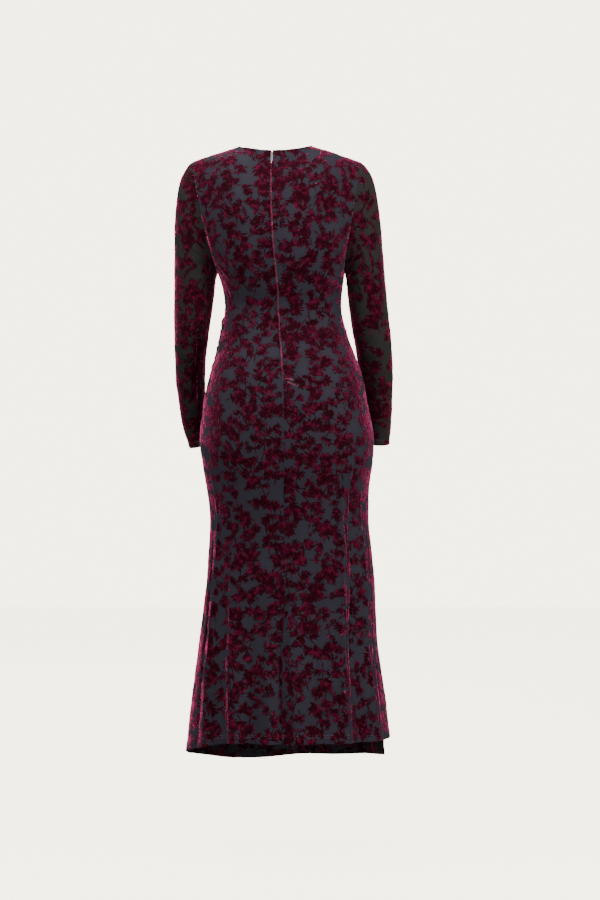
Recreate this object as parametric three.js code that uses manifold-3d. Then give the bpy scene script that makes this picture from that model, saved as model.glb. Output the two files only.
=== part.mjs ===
// Long-sleeved wrap dress of burnout velvet, as hollow walls of cloth in the pose it is worn in.
// Millimetres. +Z is up, the front faces -Y, and +X is the left side of the dress.
// The origin is the middle of the neck at the height of the shoulder's neck points.

import * as THREE from "three";
import { mergeVertices } from "three/addons/utils/BufferGeometryUtils.js";
import Module from "manifold-3d";

const wasm = await Module();
wasm.setup();

// Cloth
const CLOTH = 1.3;
const SEAM_INSET = 0.15;
const ARMHOLE_INSET = 0.25;
const LAYER = 2.8;

// Heights
const UNDERARM = -265;
const TOP_EDGE = -0.2;
const UNDER_FRONT_HEM = -410;

// The side slit's front edge leaves the right side seam by a growing angle
const SLIT = { top: -819, hem: -1290, open: 19, growth: 1.2 };

// Where the two fronts lie on each other, the lower one gives way to the right and the upper one to the left
const LAYER_SHARE = { from: 150, to: 235 };
const LAYER_START = { from: -520, to: -440 };

// Body of the dress as level sections: edges seen from the back, and depths from the side seams
const SECTIONS = [
  { z: -1320, left: 196, right: -243, back: 148, front: 150, square: 2.15 },
  { z: -1161, left: 179, right: -228, back: 138, front: 139, square: 2.15 },
  { z: -1035, left: 163, right: -210, back: 127, front: 128, square: 2.15 },
  { z: -909, left: 147, right: -204, back: 120, front: 118, square: 2.2 },
  { z: -846, left: 143, right: -198, back: 118, front: 114, square: 2.2 },
  { z: -783, left: 140, right: -192, back: 120, front: 111, square: 2.2 },
  { z: -720, left: 146, right: -193, back: 125, front: 110, square: 2.2 },
  { z: -668, left: 155, right: -200, back: 132, front: 110, square: 2.25 },
  { z: -615, left: 162, right: -203, back: 136, front: 111, square: 2.25 },
  { z: -540, left: 154, right: -190, back: 131, front: 111, square: 2.25 },
  { z: -489, left: 143, right: -181, back: 120, front: 108, square: 2.25 },
  { z: -447, left: 129, right: -167, back: 107, front: 103, square: 2.25 },
  { z: -405, left: 119, right: -151, back: 92, front: 97, square: 2.2 },
  { z: -372, left: 113, right: -141, back: 83, front: 92, square: 2.2 },
  { z: -338, left: 109, right: -134.5, back: 80, front: 90, square: 2.2 },
  { z: -300, left: 113, right: -137, back: 89, front: 97, square: 2.25 },
  { z: -265, left: 124, right: -142, back: 96, front: 106, square: 2.3 },
];

// Centre-back seam, as the angle by which it stands off the middle of each section
const SEAM_ANGLES = [
  { z: -1320, angle: 3.3 },
  { z: -783, angle: 3.3 },
  { z: -615, angle: 1.5 },
  { z: -531, angle: 0.9 },
  { z: -450, angle: 3.2 },
  { z: -279, angle: 4.6 },
  { z: 0, angle: 1.8 },
];

// Hem height around the dress: 0 is the back's middle, 90 the left side, 180 the front, 270 the right side
const HEM = [
  { angle: -90, z: -1237 },
  { angle: 30, z: -1236 },
  { angle: 50, z: -1247 },
  { angle: 90, z: -1268 },
  { angle: 135, z: -1290 },
  { angle: 160, z: -1302 },
  { angle: 200, z: -1295 },
  { angle: 235, z: -1290 },
  { angle: 270, z: -1282 },
];

// Long folds of the skirt: angles at the start and the hem, start height, half width, rise at the hem
const FOLDS = [
  { from: 64, to: 51, start: -740, half: 10, rise: 8 },
  { from: 50, to: 41, start: -840, half: 9, rise: -6 },
  { from: 36, to: 31, start: -860, half: 9, rise: 7 },
  { from: 24, to: 21, start: -860, half: 8, rise: -7 },
  { from: 12, to: 11, start: -880, half: 8, rise: 6 },
  { from: 3.3, to: 2.6, start: -820, half: 7, rise: -7 },
  { from: -4, to: -5, start: -860, half: 8, rise: 7 },
  { from: -18, to: -16, start: -860, half: 11, rise: -8 },
  { from: -42, to: -33, start: -600, half: 8, rise: 10 },
  { from: -51, to: -43, start: -620, half: 9, rise: -9 },
  { from: -66, to: -60, start: -740, half: 10, rise: 7 },
  { from: 108, to: 112, start: -760, half: 13, rise: 8 },
  { from: 128, to: 131, start: -820, half: 12, rise: -8 },
  { from: 146, to: 149, start: -700, half: 12, rise: 10 },
  { from: 166, to: 168, start: -840, half: 12, rise: -7 },
  { from: 185, to: 187, start: -780, half: 12, rise: 8 },
  { from: 204, to: 207, start: -860, half: 12, rise: -8 },
  { from: 222, to: 226, start: -720, half: 12, rise: 9 },
  { from: 241, to: 245, start: -840, half: 12, rise: -6 },
];
const FOLD_GROWTH = 1.2;

// Neck, shoulders and armholes
const NECK = { centre: 3.5, half: 76.5, y: 5, z: 0, angle: 35 };
const NECK_BACK = { side: 1, depth: 53, drop: 14, lean: 0.45, rise: 0.89, reach: 150 };
const NECK_FRONT = { side: -1, depth: 64, drop: 70, lean: 0.5, rise: 0.87, reach: 130 };
const NECK_BLEND = 18;
const ARMHOLE_BLEND = 50;
const SHOULDER = { centre: 1.5, half: 168.5, y: -5, z: -28 };
const YOKE_REACH = 330;
const SHOULDER_REACH = 260;
const ARMHOLE = { outLeft: 30, outRight: -30, round: 170, up: 60, tuck: 60 };
const BUST = { across: 78, z: -222, width: 78, height: 84, rise: 13, halfBody: 133 };

// Wrap edge of the right front, laid over, from its neck point down to the left side seam
const WRAP_EDGE = [
  { angle: 90, z: -366 },
  { angle: 115, z: -346 },
  { angle: 140, z: -306 },
  { angle: 160, z: -260 },
  { angle: 180, z: -203 },
  { angle: 198, z: -128 },
  { angle: 215, z: 0 },
];
const GATHERS = { count: 6, rise: 7, from: -470, sewn: 3, full: 92, gone: 184, start: 0.1 };

// Sleeve sections below the underarm, down to the cuff
const SLEEVES = {
  left: [
    { z: -290, outer: 216, inner: 132, y: -4, half: 41 },
    { z: -363, outer: 216.5, inner: 141, y: -8, half: 38 },
    { z: -405, outer: 216.5, inner: 146, y: -16, half: 36 },
    { z: -447, outer: 215, inner: 151, y: -30, half: 33 },
    { z: -489, outer: 213.5, inner: 153, y: -46, half: 31 },
    { z: -531, outer: 209, inner: 152, y: -62, half: 29 },
    { z: -573, outer: 203.5, inner: 147, y: -77, half: 28 },
    { z: -622, outer: 190, inner: 134, y: -90, half: 27 },
  ],
  right: [
    { z: -290, outer: -228, inner: -147, y: -4, half: 41 },
    { z: -363, outer: -235, inner: -156, y: -8, half: 38 },
    { z: -405, outer: -240, inner: -164, y: -14, half: 36 },
    { z: -447, outer: -242.5, inner: -171, y: -26, half: 33 },
    { z: -489, outer: -243.5, inner: -179, y: -40, half: 31 },
    { z: -531, outer: -243.5, inner: -184, y: -52, half: 29 },
    { z: -573, outer: -243, inner: -186, y: -65, half: 28 },
    { z: -620, outer: -239, inner: -183, y: -77, half: 27 },
  ],
};

// How the sleeve leaves the armhole: down at the underarm, outward above it, and with the shoulder at the top
const SLEEVE_HEAD = {
  low: new THREE.Vector3(0.55, 0, -0.83),
  middle: new THREE.Vector3(0.95, 0, -0.31),
  middleFrom: 0.3,
  topFrom: 0.85,
  topShare: 0.85,
  capReach: 0.62,
  armReach: 1.1,
};

// Zip
const ZIP = { end: -512, width: 12, thick: 1.0, gap: 0.4, topShare: 0.85 };
const ZIP_OPENING = { from: -52, full: -22, half: 1.5 };
const SLIDER = { below: 6.5, stand: 1.7, post: 1.6, half: 2.0, crown: 1.9, sink: 6.4 };
const SLIDER_BODY = { width: 5.6, length: 9, thick: 2.2, overlap: 1 };
const SLIDER_CHAMFER = 0.7;
const WINDOW = { half: 1.15, top: 1.0, bottom: -1.15 };
const TAB = { thick: 1.1, bar: 0.55, slot: 1.25, slotEnd: 3.2, neck: 2.3, waist: 2, waistAt: 4.8, half: 2.7 };
const TAB_LENGTH = 21;
const TAB_TILT = 3.5;

// Mesh density
const BACK_COLUMNS = 18;
const BACK_BANDS = { skirt: 15, zip: 7, yoke: 10 };
const FRONT_COLUMNS = 28;
const FRONT_ROWS = { skirt: 18, waist: 28, top: 42 };
const UNDER_ROWS = { bodice: 5, top: 13 };
const SLEEVE_COLUMNS = 16;
const CAP_ROWS = 7;
const ARM_ROWS = 12;

const CLOTH_COLOUR = 0x3a1722;
const SLEEVE_COLOUR = 0x3b2529;
const TAPE_COLOUR = 0x1c1a1d;
const METAL_COLOUR = 0xb9bbc0;

// Steps over which directions are measured: degrees around, and millimetres or sleeve runs along
const TURN_STEP = 0.2;
const CLIMB_STEP = 0.5;
const AXIS_STEP = 4;
const RUN_STEP = 0.01;

const radians = THREE.MathUtils.degToRad;
const mix = THREE.MathUtils.lerp;

// Eases from 0 at "from" to 1 at "to", whichever of them is larger
function ease(from, to, value) {
  const part = THREE.MathUtils.clamp((value - from) / (to - from), 0, 1);
  return part * part * (3 - 2 * part);
}

// Smooth curve through one column of a table that never overshoots its rows
function tableCurve(rows, at, column) {
  const sorted = [...rows].sort((a, b) => a[at] - b[at]);
  const xs = sorted.map((row) => row[at]);
  const ys = sorted.map((row) => row[column]);
  const last = xs.length - 1;
  const steps = xs.slice(1).map((x, i) => (ys[i + 1] - ys[i]) / (x - xs[i]));
  const slopes = xs.map((_, i) => {
    if (i === 0) return steps[0];
    if (i === last) return steps[last - 1];
    const product = steps[i - 1] * steps[i];
    return product <= 0 ? 0 : (2 * product) / (steps[i - 1] + steps[i]);
  });
  return (x) => {
    let i = 0;
    while (i < last - 1 && x > xs[i + 1]) i += 1;
    const width = xs[i + 1] - xs[i];
    const t = THREE.MathUtils.clamp((x - xs[i]) / width, 0, 1);
    const lead = ys[i] * (1 + 2 * t) * (1 - t) ** 2 + slopes[i] * width * t * (1 - t) ** 2;
    const tail = ys[i + 1] * t * t * (3 - 2 * t) - slopes[i + 1] * width * t * t * (1 - t);
    return lead + tail;
  };
}

const sectionCurves = Object.fromEntries(
  ["left", "right", "back", "front", "square"].map((name) => [name, tableCurve(SECTIONS, "z", name)]),
);
const seamAngle = tableCurve(SEAM_ANGLES, "z", "angle");
const hemHeight = tableCurve(HEM, "angle", "z");
const wrapEdge = tableCurve(WRAP_EDGE, "angle", "z");

// A rounded bump, 1 at its middle and 0 at its edges
function bump(value) {
  const reach = Math.min(1, Math.abs(value));
  return 0.5 + 0.5 * Math.cos(Math.PI * reach);
}

function foldRise(angle, z) {
  let rise = 0;
  for (const fold of FOLDS) {
    const hem = hemHeight(fold.to);
    const part = THREE.MathUtils.clamp((fold.start - z) / (fold.start - hem), 0, 1.1);
    const middle = mix(fold.from, fold.to, part);
    rise += fold.rise * part ** FOLD_GROWTH * bump((angle - middle) / fold.half);
  }
  return rise;
}

// Body of the dress below the underarm
function tube(angle, z) {
  const left = sectionCurves.left(z);
  const right = sectionCurves.right(z);
  const half = (left - right) / 2;
  const sine = Math.sin(radians(angle));
  const cosine = Math.cos(radians(angle));
  const depth = cosine > 0 ? sectionCurves.back(z) : sectionCurves.front(z);
  const square = sectionCurves.square(z);
  const scale = (Math.abs(sine) ** square + Math.abs(cosine) ** square) ** (-1 / square);
  const outward = new THREE.Vector3(sine / half, cosine / depth, 0).normalize();
  const point = new THREE.Vector3((left + right) / 2 + half * scale * sine, depth * scale * cosine, z);
  return point.addScaledVector(outward, foldRise(angle, z));
}

function hermite(start, startTangent, end, endTangent, t) {
  const point = start.clone().multiplyScalar((1 + 2 * t) * (1 - t) ** 2);
  point.addScaledVector(startTangent, t * (1 - t) ** 2);
  point.addScaledVector(end, t * t * (3 - 2 * t));
  return point.addScaledVector(endTangent, -t * t * (1 - t));
}

// Top edge of the back or front: the neckline up to the neck point, then the shoulder seam
function topEdge(neck, side, turn) {
  if (turn <= NECK.angle) {
    const quarter = (Math.PI / 2) * (turn / NECK.angle);
    const across = Math.sin(quarter);
    return new THREE.Vector3(
      NECK.centre + side * NECK.half * across,
      NECK.y + neck.side * neck.depth * Math.cos(quarter),
      NECK.z - neck.drop * (1 - across * across),
    );
  }
  const along = (turn - NECK.angle) / (90 - NECK.angle);
  return new THREE.Vector3(
    mix(NECK.centre + side * NECK.half, SHOULDER.centre + side * SHOULDER.half, along),
    mix(NECK.y, SHOULDER.y, along),
    mix(NECK.z, SHOULDER.z, along),
  );
}

// Upper back or front: columns that rise from the underarm section to the neckline and shoulder seam
function yoke(neck, angle, z) {
  const turn = neck.side > 0 ? angle : 180 - angle;
  const side = Math.sign(turn) || 1;
  const away = Math.abs(turn);
  const start = tube(angle, UNDERARM);
  const slope = start.clone().sub(tube(angle, UNDERARM - 1));
  const toArmhole = ease(ARMHOLE_BLEND, 90, away);
  const toShoulder = ease(NECK.angle - NECK_BLEND, NECK.angle, away);
  const shoulderSlope = (SHOULDER.z - NECK.z) / (SHOULDER.half - NECK.half);
  const rising = slope.multiplyScalar(YOKE_REACH);
  const out = side > 0 ? ARMHOLE.outLeft : ARMHOLE.outRight;
  const rounding = new THREE.Vector3(side * out, neck.side * ARMHOLE.round, ARMHOLE.up);
  const leaning = new THREE.Vector3(0, -neck.side * neck.lean, neck.rise).multiplyScalar(neck.reach);
  const crossing = new THREE.Vector3(
    -side * ARMHOLE.tuck * toArmhole,
    -neck.side * mix(SHOULDER_REACH, ARMHOLE.round, toArmhole),
    -shoulderSlope * ARMHOLE.tuck * toArmhole,
  );
  const rise = (z - UNDERARM) / (NECK.z - UNDERARM);
  return hermite(
    start, rising.lerp(rounding, toArmhole),
    topEdge(neck, side, away), leaning.lerp(crossing, toShoulder),
    rise,
  );
}

function bustRise(angle, z) {
  const across = Math.abs(Math.sin(radians(angle))) * BUST.halfBody;
  const reach = Math.hypot((across - BUST.across) / BUST.width, (z - BUST.z) / BUST.height);
  return BUST.rise * bump(reach);
}

// The dress as two surfaces of angle and height, which above the underarm is the way to the top edge
function backSurface(angle, z) {
  return z <= UNDERARM ? tube(angle, z) : yoke(NECK_BACK, angle, z);
}

function frontSurface(angle, z) {
  const point = z <= UNDERARM ? tube(angle, z) : yoke(NECK_FRONT, angle, z);
  point.y -= bustRise(angle, z);
  return point;
}

// Point of a surface, moved out by lift, with the direction that faces out
function skin(surface, angle, z, lift = 0) {
  const around = surface(angle + TURN_STEP, z).sub(surface(angle - TURN_STEP, z));
  const up = surface(angle, z + CLIMB_STEP).sub(surface(angle, z - CLIMB_STEP));
  const normal = up.cross(around).normalize();
  const point = surface(angle, z).addScaledVector(normal, lift);
  return { point, normal, perDegree: around.length() / (2 * TURN_STEP) };
}

// Closed wall between a grid of outer points and the same grid moved in
function wall(grid, thickness, ring = false) {
  const rows = grid.length;
  const columns = grid[0].length;
  const across = ring ? columns : columns - 1;
  const positions = [];
  for (const depth of [0, thickness]) {
    for (const row of grid) {
      for (const { point, normal } of row) {
        positions.push(...point.clone().addScaledVector(normal, -depth).toArray());
      }
    }
  }
  const at = (layer, i, j) => layer * rows * columns + i * columns + (j % columns);
  const faces = [];
  const quad = (a, b, c, d) => faces.push(a, b, c, a, c, d);
  for (let i = 0; i < rows - 1; i += 1) {
    for (let j = 0; j < across; j += 1) {
      quad(at(0, i, j), at(0, i, j + 1), at(0, i + 1, j + 1), at(0, i + 1, j));
      quad(at(1, i, j), at(1, i + 1, j), at(1, i + 1, j + 1), at(1, i, j + 1));
    }
  }
  for (let j = 0; j < across; j += 1) {
    quad(at(0, 0, j), at(1, 0, j), at(1, 0, j + 1), at(0, 0, j + 1));
    quad(at(0, rows - 1, j), at(0, rows - 1, j + 1), at(1, rows - 1, j + 1), at(1, rows - 1, j));
  }
  for (let i = 0; i < rows - 1 && !ring; i += 1) {
    quad(at(0, i, 0), at(0, i + 1, 0), at(1, i + 1, 0), at(1, i, 0));
    quad(at(0, i, across), at(1, i, across), at(1, i + 1, across), at(0, i + 1, across));
  }
  const geometry = new THREE.BufferGeometry();
  geometry.setAttribute("position", new THREE.Float32BufferAttribute(positions, 3));
  geometry.setIndex(faces);
  return facingOut(geometry);
}

// Turns the triangles round where the closed mesh is inside out
function facingOut(geometry) {
  const position = geometry.getAttribute("position");
  const index = geometry.getIndex();
  const [a, b, c] = [new THREE.Vector3(), new THREE.Vector3(), new THREE.Vector3()];
  let volume = 0;
  for (let k = 0; k < index.count; k += 3) {
    a.fromBufferAttribute(position, index.getX(k));
    b.fromBufferAttribute(position, index.getX(k + 1));
    c.fromBufferAttribute(position, index.getX(k + 2));
    volume += a.dot(b.cross(c));
  }
  if (volume < 0) {
    for (let k = 0; k < index.count; k += 3) {
      const first = index.getX(k);
      index.setX(k, index.getX(k + 1));
      index.setX(k + 1, first);
    }
  }
  return geometry;
}

function range(count) {
  return Array.from({ length: count + 1 }, (_, i) => i);
}

// How far each back half stands off the centre-back seam: the zip's top is a little open
function seamHalfGap(z) {
  return mix(SEAM_INSET, ZIP_OPENING.half, ease(ZIP_OPENING.from, ZIP_OPENING.full, z));
}

function seamEdge(side, z, offset) {
  const middle = seamAngle(z);
  return middle + (side * offset) / skin(backSurface, middle, z).perDegree;
}

// Heights of the back's rows at an angle: hem to zip end, zip end to underarm, underarm to top edge
function backHeights(angle) {
  const { skirt, zip, yoke: upper } = BACK_BANDS;
  return [
    ...range(skirt).map((i) => mix(hemHeight(angle), ZIP.end, i / skirt)),
    ...range(zip).slice(1).map((i) => mix(ZIP.end, UNDERARM, i / zip)),
    ...range(upper).slice(1).map((i) => mix(UNDERARM, TOP_EDGE, i / upper)),
  ];
}

function backHalf(side) {
  return backHeights(0).map((_, row) =>
    range(BACK_COLUMNS).map((j) => {
      const across = j / BACK_COLUMNS;
      const z = backHeights(side * 90 * across)[row];
      const seam = seamEdge(side, z, seamHalfGap(z));
      const inset = z > UNDERARM ? ARMHOLE_INSET : SEAM_INSET;
      const sideEdge = side * (90 - inset / skin(backSurface, side * 90, z).perDegree);
      return skin(backSurface, mix(seam, sideEdge, across), z);
    }),
  );
}

// Insets at the two side seams, and at the armhole above the underarm
function frontAngle(across, z, firstInset = SEAM_INSET, lastInset = SEAM_INSET) {
  const first = 90 + firstInset / skin(frontSurface, 90, z).perDegree;
  const last = slitEdge(z) - lastInset / skin(frontSurface, 270, z).perDegree;
  return mix(first, last, across);
}

// Front edge of the side slit, which stands open towards the hem
function slitEdge(z) {
  return 270 - SLIT.open * ease(SLIT.top, SLIT.hem, z) ** SLIT.growth;
}

// Share of the way up from the wrap edge's low end at the side seam to its neck point
function wrapSpread(angle) {
  const low = WRAP_EDGE[0].z;
  return (wrapEdge(Math.min(angle, WRAP_EDGE.at(-1).angle)) - low) / -low;
}

// Height on a line of knots, each a row and a height
function knotHeight(knots, row) {
  const next = Math.max(1, knots.findIndex((knot) => row <= knot.row));
  const [low, high] = [knots[next - 1], knots[next]];
  return mix(low.z, high.z, (row - low.row) / (high.row - low.row));
}

// Height of a row of the right front, whose rows fan out from the gathers at the left seam
function overHeight(angle, row) {
  const { skirt, waist, top } = FRONT_ROWS;
  const spread = wrapSpread(angle);
  const low = WRAP_EDGE[0].z;
  const gathered = mix(GATHERS.from, low, (waist - skirt) / (top - skirt));
  return knotHeight([
    { row: 0, z: hemHeight(angle) },
    { row: skirt, z: mix(GATHERS.from, ZIP.end, spread) },
    { row: waist, z: mix(gathered, UNDERARM, spread) },
    { row: top, z: mix(low, TOP_EDGE, spread) },
  ], row);
}

// The left front's rows, from its hem under the right front up to its own wrap edge
function underHeight(angle, row) {
  const { bodice, top } = UNDER_ROWS;
  const spread = wrapSpread(360 - angle);
  const low = WRAP_EDGE[0].z;
  return knotHeight([
    { row: 0, z: UNDER_FRONT_HEM },
    { row: bodice, z: mix(mix(UNDER_FRONT_HEM, low, bodice / top), UNDERARM, spread) },
    { row: top, z: mix(low, TOP_EDGE, spread) },
  ], row);
}

function gatherRise(angle, row) {
  const { skirt, top } = FRONT_ROWS;
  const climb = (row - skirt) / (top - skirt);
  if (climb <= 0) return 0;
  const wave = 0.5 - 0.5 * Math.cos(2 * Math.PI * GATHERS.count * climb);
  const sewn = 1 - Math.exp(-(angle - 90) / GATHERS.sewn);
  const fading = 1 - ease(GATHERS.full, GATHERS.gone, angle);
  return GATHERS.rise * wave * sewn * fading * ease(0, GATHERS.start, climb);
}

// Share of the layer's step that the lower front takes, the rest lifts the upper one
function layerShare(angle) {
  return ease(LAYER_SHARE.from, LAYER_SHARE.to, angle);
}

function frontOver() {
  return range(FRONT_ROWS.top).map((row) =>
    range(FRONT_COLUMNS).map((j) => {
      const across = j / FRONT_COLUMNS;
      const z = overHeight(90 + 180 * across, row);
      const lastInset = z > UNDERARM ? ARMHOLE_INSET : SEAM_INSET;
      const angle = frontAngle(across, z, SEAM_INSET, lastInset);
      const lift = LAYER * (1 - layerShare(angle)) * ease(LAYER_START.from, LAYER_START.to, z);
      return skin(frontSurface, angle, z, lift + gatherRise(angle, row));
    }),
  );
}

// The left front mirrors the wrap edge and stops below the waist, hidden by the right front
function frontUnder() {
  return range(UNDER_ROWS.top).map((row) =>
    range(FRONT_COLUMNS).map((j) => {
      const across = j / FRONT_COLUMNS;
      const z = underHeight(90 + 180 * across, row);
      const firstInset = z > UNDERARM ? ARMHOLE_INSET : SEAM_INSET;
      const angle = frontAngle(across, z, firstInset);
      return skin(frontSurface, angle, z, -LAYER * layerShare(angle));
    }),
  );
}

// Armhole: up the back from the underarm to the shoulder point, and down the front
function armhole(side, turn) {
  const back = turn <= 180;
  const climb = back ? turn / 180 : (360 - turn) / 180;
  const z = mix(UNDERARM, 0, climb);
  const surface = back ? backSurface : frontSurface;
  const angle = back ? side * 90 : 180 - side * 90;
  const inward = back ? -side : side;
  const point = surface(angle, z);
  const outward = point.clone().sub(surface(angle + inward, z)).normalize();
  return { point, outward, climb };
}

function armSection(side, z) {
  const rows = side > 0 ? SLEEVES.left : SLEEVES.right;
  const value = (name) => tableCurve(rows, "z", name)(z);
  const outer = value("outer");
  const inner = value("inner");
  const centre = new THREE.Vector3((outer + inner) / 2, value("y"), z);
  return { centre, half: (outer - inner) / 2, deep: value("half") };
}

// Point of the ring round the arm at a height, square to the arm
function armPoint(side, z, turn) {
  const { centre, half, deep } = armSection(side, z);
  const cuff = (side > 0 ? SLEEVES.left : SLEEVES.right).at(-1).z;
  const lower = Math.max(z - AXIS_STEP, cuff);
  const axis = armSection(side, lower + AXIS_STEP).centre.sub(armSection(side, lower).centre).normalize();
  const offset = new THREE.Vector3(-half * Math.cos(radians(turn)), deep * Math.sin(radians(turn)), 0);
  offset.z = -(offset.x * axis.x + offset.y * axis.y) / axis.z;
  return centre.add(offset);
}

// Sleeve surface: run 0 to 1 is the cap, from the armhole to the upper arm, and 1 to 2 is the arm
function sleeveSurface(side, turn, run) {
  const rows = side > 0 ? SLEEVES.left : SLEEVES.right;
  const top = rows[0].z;
  if (run > 1) return armPoint(side, mix(top, rows.at(-1).z, run - 1), turn);
  const { point, outward, climb } = armhole(side, turn);
  const end = armPoint(side, top, turn);
  const below = armPoint(side, top - 1, turn);
  const mirror = new THREE.Vector3(side, 1, 1);
  const { low, middle, middleFrom, topFrom, topShare, capReach, armReach } = SLEEVE_HEAD;
  const start = low.clone().lerp(middle, ease(0, middleFrom, climb)).multiply(mirror);
  start.lerp(outward, topShare * ease(middleFrom, topFrom, climb)).normalize();
  const chord = point.distanceTo(end);
  const down = below.sub(end).normalize().multiplyScalar(chord * armReach);
  const begin = point.addScaledVector(start, ARMHOLE_INSET);
  return hermite(begin, start.multiplyScalar(chord * capReach), end, down, run);
}

function sleeve(side) {
  const runs = [
    ...range(CAP_ROWS).map((i) => i / CAP_ROWS),
    ...range(ARM_ROWS).slice(1).map((i) => 1 + i / ARM_ROWS),
  ];
  return runs.map((run) =>
    range(SLEEVE_COLUMNS - 1).map((j) => {
      const turn = (360 * j) / SLEEVE_COLUMNS;
      const point = sleeveSurface(side, turn, run);
      const low = Math.max(0, run - RUN_STEP);
      const high = Math.min(2, run + RUN_STEP);
      const along = sleeveSurface(side, turn, high).sub(sleeveSurface(side, turn, low));
      const around = sleeveSurface(side, (turn + 1) % 360, run);
      around.sub(sleeveSurface(side, (turn + 359) % 360, run));
      const normal = around.cross(along).multiplyScalar(side).normalize();
      return { point, normal };
    }),
  );
}

// Tape behind one back half, on the same rows, with its top a little below the neckline
function zipTape(side) {
  const depth = CLOTH + ZIP.gap;
  const rows = backHeights(0).slice(BACK_BANDS.skirt).map((z) =>
    [0, 0.5, 1].map((part) => {
      const offset = seamHalfGap(z) + part * ZIP.width;
      return skin(backSurface, seamEdge(side, z, offset), z, -depth);
    }),
  );
  const below = rows.at(-2);
  rows.at(-1).forEach(({ point }, j) => point.lerpVectors(below[j].point, point, ZIP.topShare));
  return rows;
}

// Axes at the zip's top: across, out of the cloth, and down the seam
function zipFrame() {
  let z = 0;
  const top = skin(backSurface, seamAngle(0), 0).point;
  while (skin(backSurface, seamAngle(z), z).point.distanceTo(top) < SLIDER.below) z -= CLIMB_STEP;
  const { point, normal } = skin(backSurface, seamAngle(z), z);
  const across = new THREE.Vector3(1, 0, 0);
  const down = across.clone().cross(normal).normalize();
  const out = down.clone().cross(across).normalize();
  if (down.z > 0) down.negate();
  const origin = point.addScaledVector(out, SLIDER.stand);
  return { origin, across, down, out };
}

function placed(geometry, frame, tilt = 0) {
  const basis = new THREE.Matrix4().makeBasis(frame.across, frame.down, frame.out);
  if (basis.determinant() < 0) basis.makeBasis(frame.across.clone().negate(), frame.down, frame.out);
  const turn = new THREE.Matrix4().makeRotationX(radians(-tilt));
  return facingOut(solidIndex(geometry.applyMatrix4(turn).applyMatrix4(basis.setPosition(frame.origin))));
}

function solidIndex(geometry) {
  geometry.deleteAttribute("normal");
  geometry.deleteAttribute("uv");
  return mergeVertices(geometry, 1e-4);
}

function toManifold(geometry) {
  const merged = solidIndex(geometry);
  return new wasm.Manifold(new wasm.Mesh({
    numProp: 3,
    vertProperties: new Float32Array(merged.getAttribute("position").array),
    triVerts: new Uint32Array(merged.getIndex().array),
  }));
}

function fromManifold(solid) {
  const { vertProperties, triVerts } = solid.getMesh();
  const geometry = new THREE.BufferGeometry();
  geometry.setAttribute("position", new THREE.BufferAttribute(vertProperties, 3));
  geometry.setIndex(new THREE.BufferAttribute(triVerts, 1));
  return geometry;
}

// Slider: a post through the seam with a window for the tab's bar, and a body behind the tapes
function sliderGeometry() {
  const { half, crown, sink, post } = SLIDER;
  const outline = new THREE.Shape([
    new THREE.Vector2(-half, -sink),
    new THREE.Vector2(half, -sink),
    new THREE.Vector2(half, crown - SLIDER_CHAMFER),
    new THREE.Vector2(half - SLIDER_CHAMFER, crown),
    new THREE.Vector2(-half + SLIDER_CHAMFER, crown),
    new THREE.Vector2(-half, crown - SLIDER_CHAMFER),
  ]);
  outline.holes.push(new THREE.Path([
    new THREE.Vector2(-WINDOW.half, WINDOW.bottom),
    new THREE.Vector2(WINDOW.half, WINDOW.bottom),
    new THREE.Vector2(WINDOW.half, WINDOW.top),
    new THREE.Vector2(-WINDOW.half, WINDOW.top),
  ]));
  const arch = new THREE.ExtrudeGeometry(outline, { depth: post, bevelEnabled: false });
  arch.translate(0, 0, -post / 2);
  arch.applyMatrix4(new THREE.Matrix4().makeBasis(
    new THREE.Vector3(0, 1, 0), new THREE.Vector3(0, 0, 1), new THREE.Vector3(1, 0, 0),
  ));
  const { width, length, thick, overlap } = SLIDER_BODY;
  const body = new THREE.BoxGeometry(width, length, thick);
  body.translate(0, 0, overlap - sink - thick / 2);
  return fromManifold(toManifold(arch).add(toManifold(body)));
}

// Pull tab: a bar through the slider's window, two arms, and a drop-shaped plate
function tabGeometry() {
  const { thick, bar, slot, slotEnd, neck, waist, waistAt, half } = TAB;
  const round = TAB_LENGTH - half;
  const outline = new THREE.Shape();
  outline.moveTo(-neck, -bar);
  outline.lineTo(neck, -bar);
  outline.lineTo(waist, waistAt);
  outline.lineTo(half, round);
  outline.absarc(0, round, half, 0, Math.PI, false);
  outline.lineTo(-waist, waistAt);
  outline.closePath();
  outline.holes.push(new THREE.Path([
    new THREE.Vector2(-slot, bar),
    new THREE.Vector2(slot, bar),
    new THREE.Vector2(slot, slotEnd),
    new THREE.Vector2(-slot, slotEnd),
  ]));
  const plate = new THREE.ExtrudeGeometry(outline, { depth: thick, bevelEnabled: false, curveSegments: 8 });
  return plate.translate(0, 0, -thick / 2);
}

const dress = new THREE.Group();

function addPiece(name, geometry, color, roughness, metalness = 0) {
  const mesh = new THREE.Mesh(geometry, new THREE.MeshStandardMaterial({ color, roughness, metalness }));
  mesh.name = name;
  dress.add(mesh);
}

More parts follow.
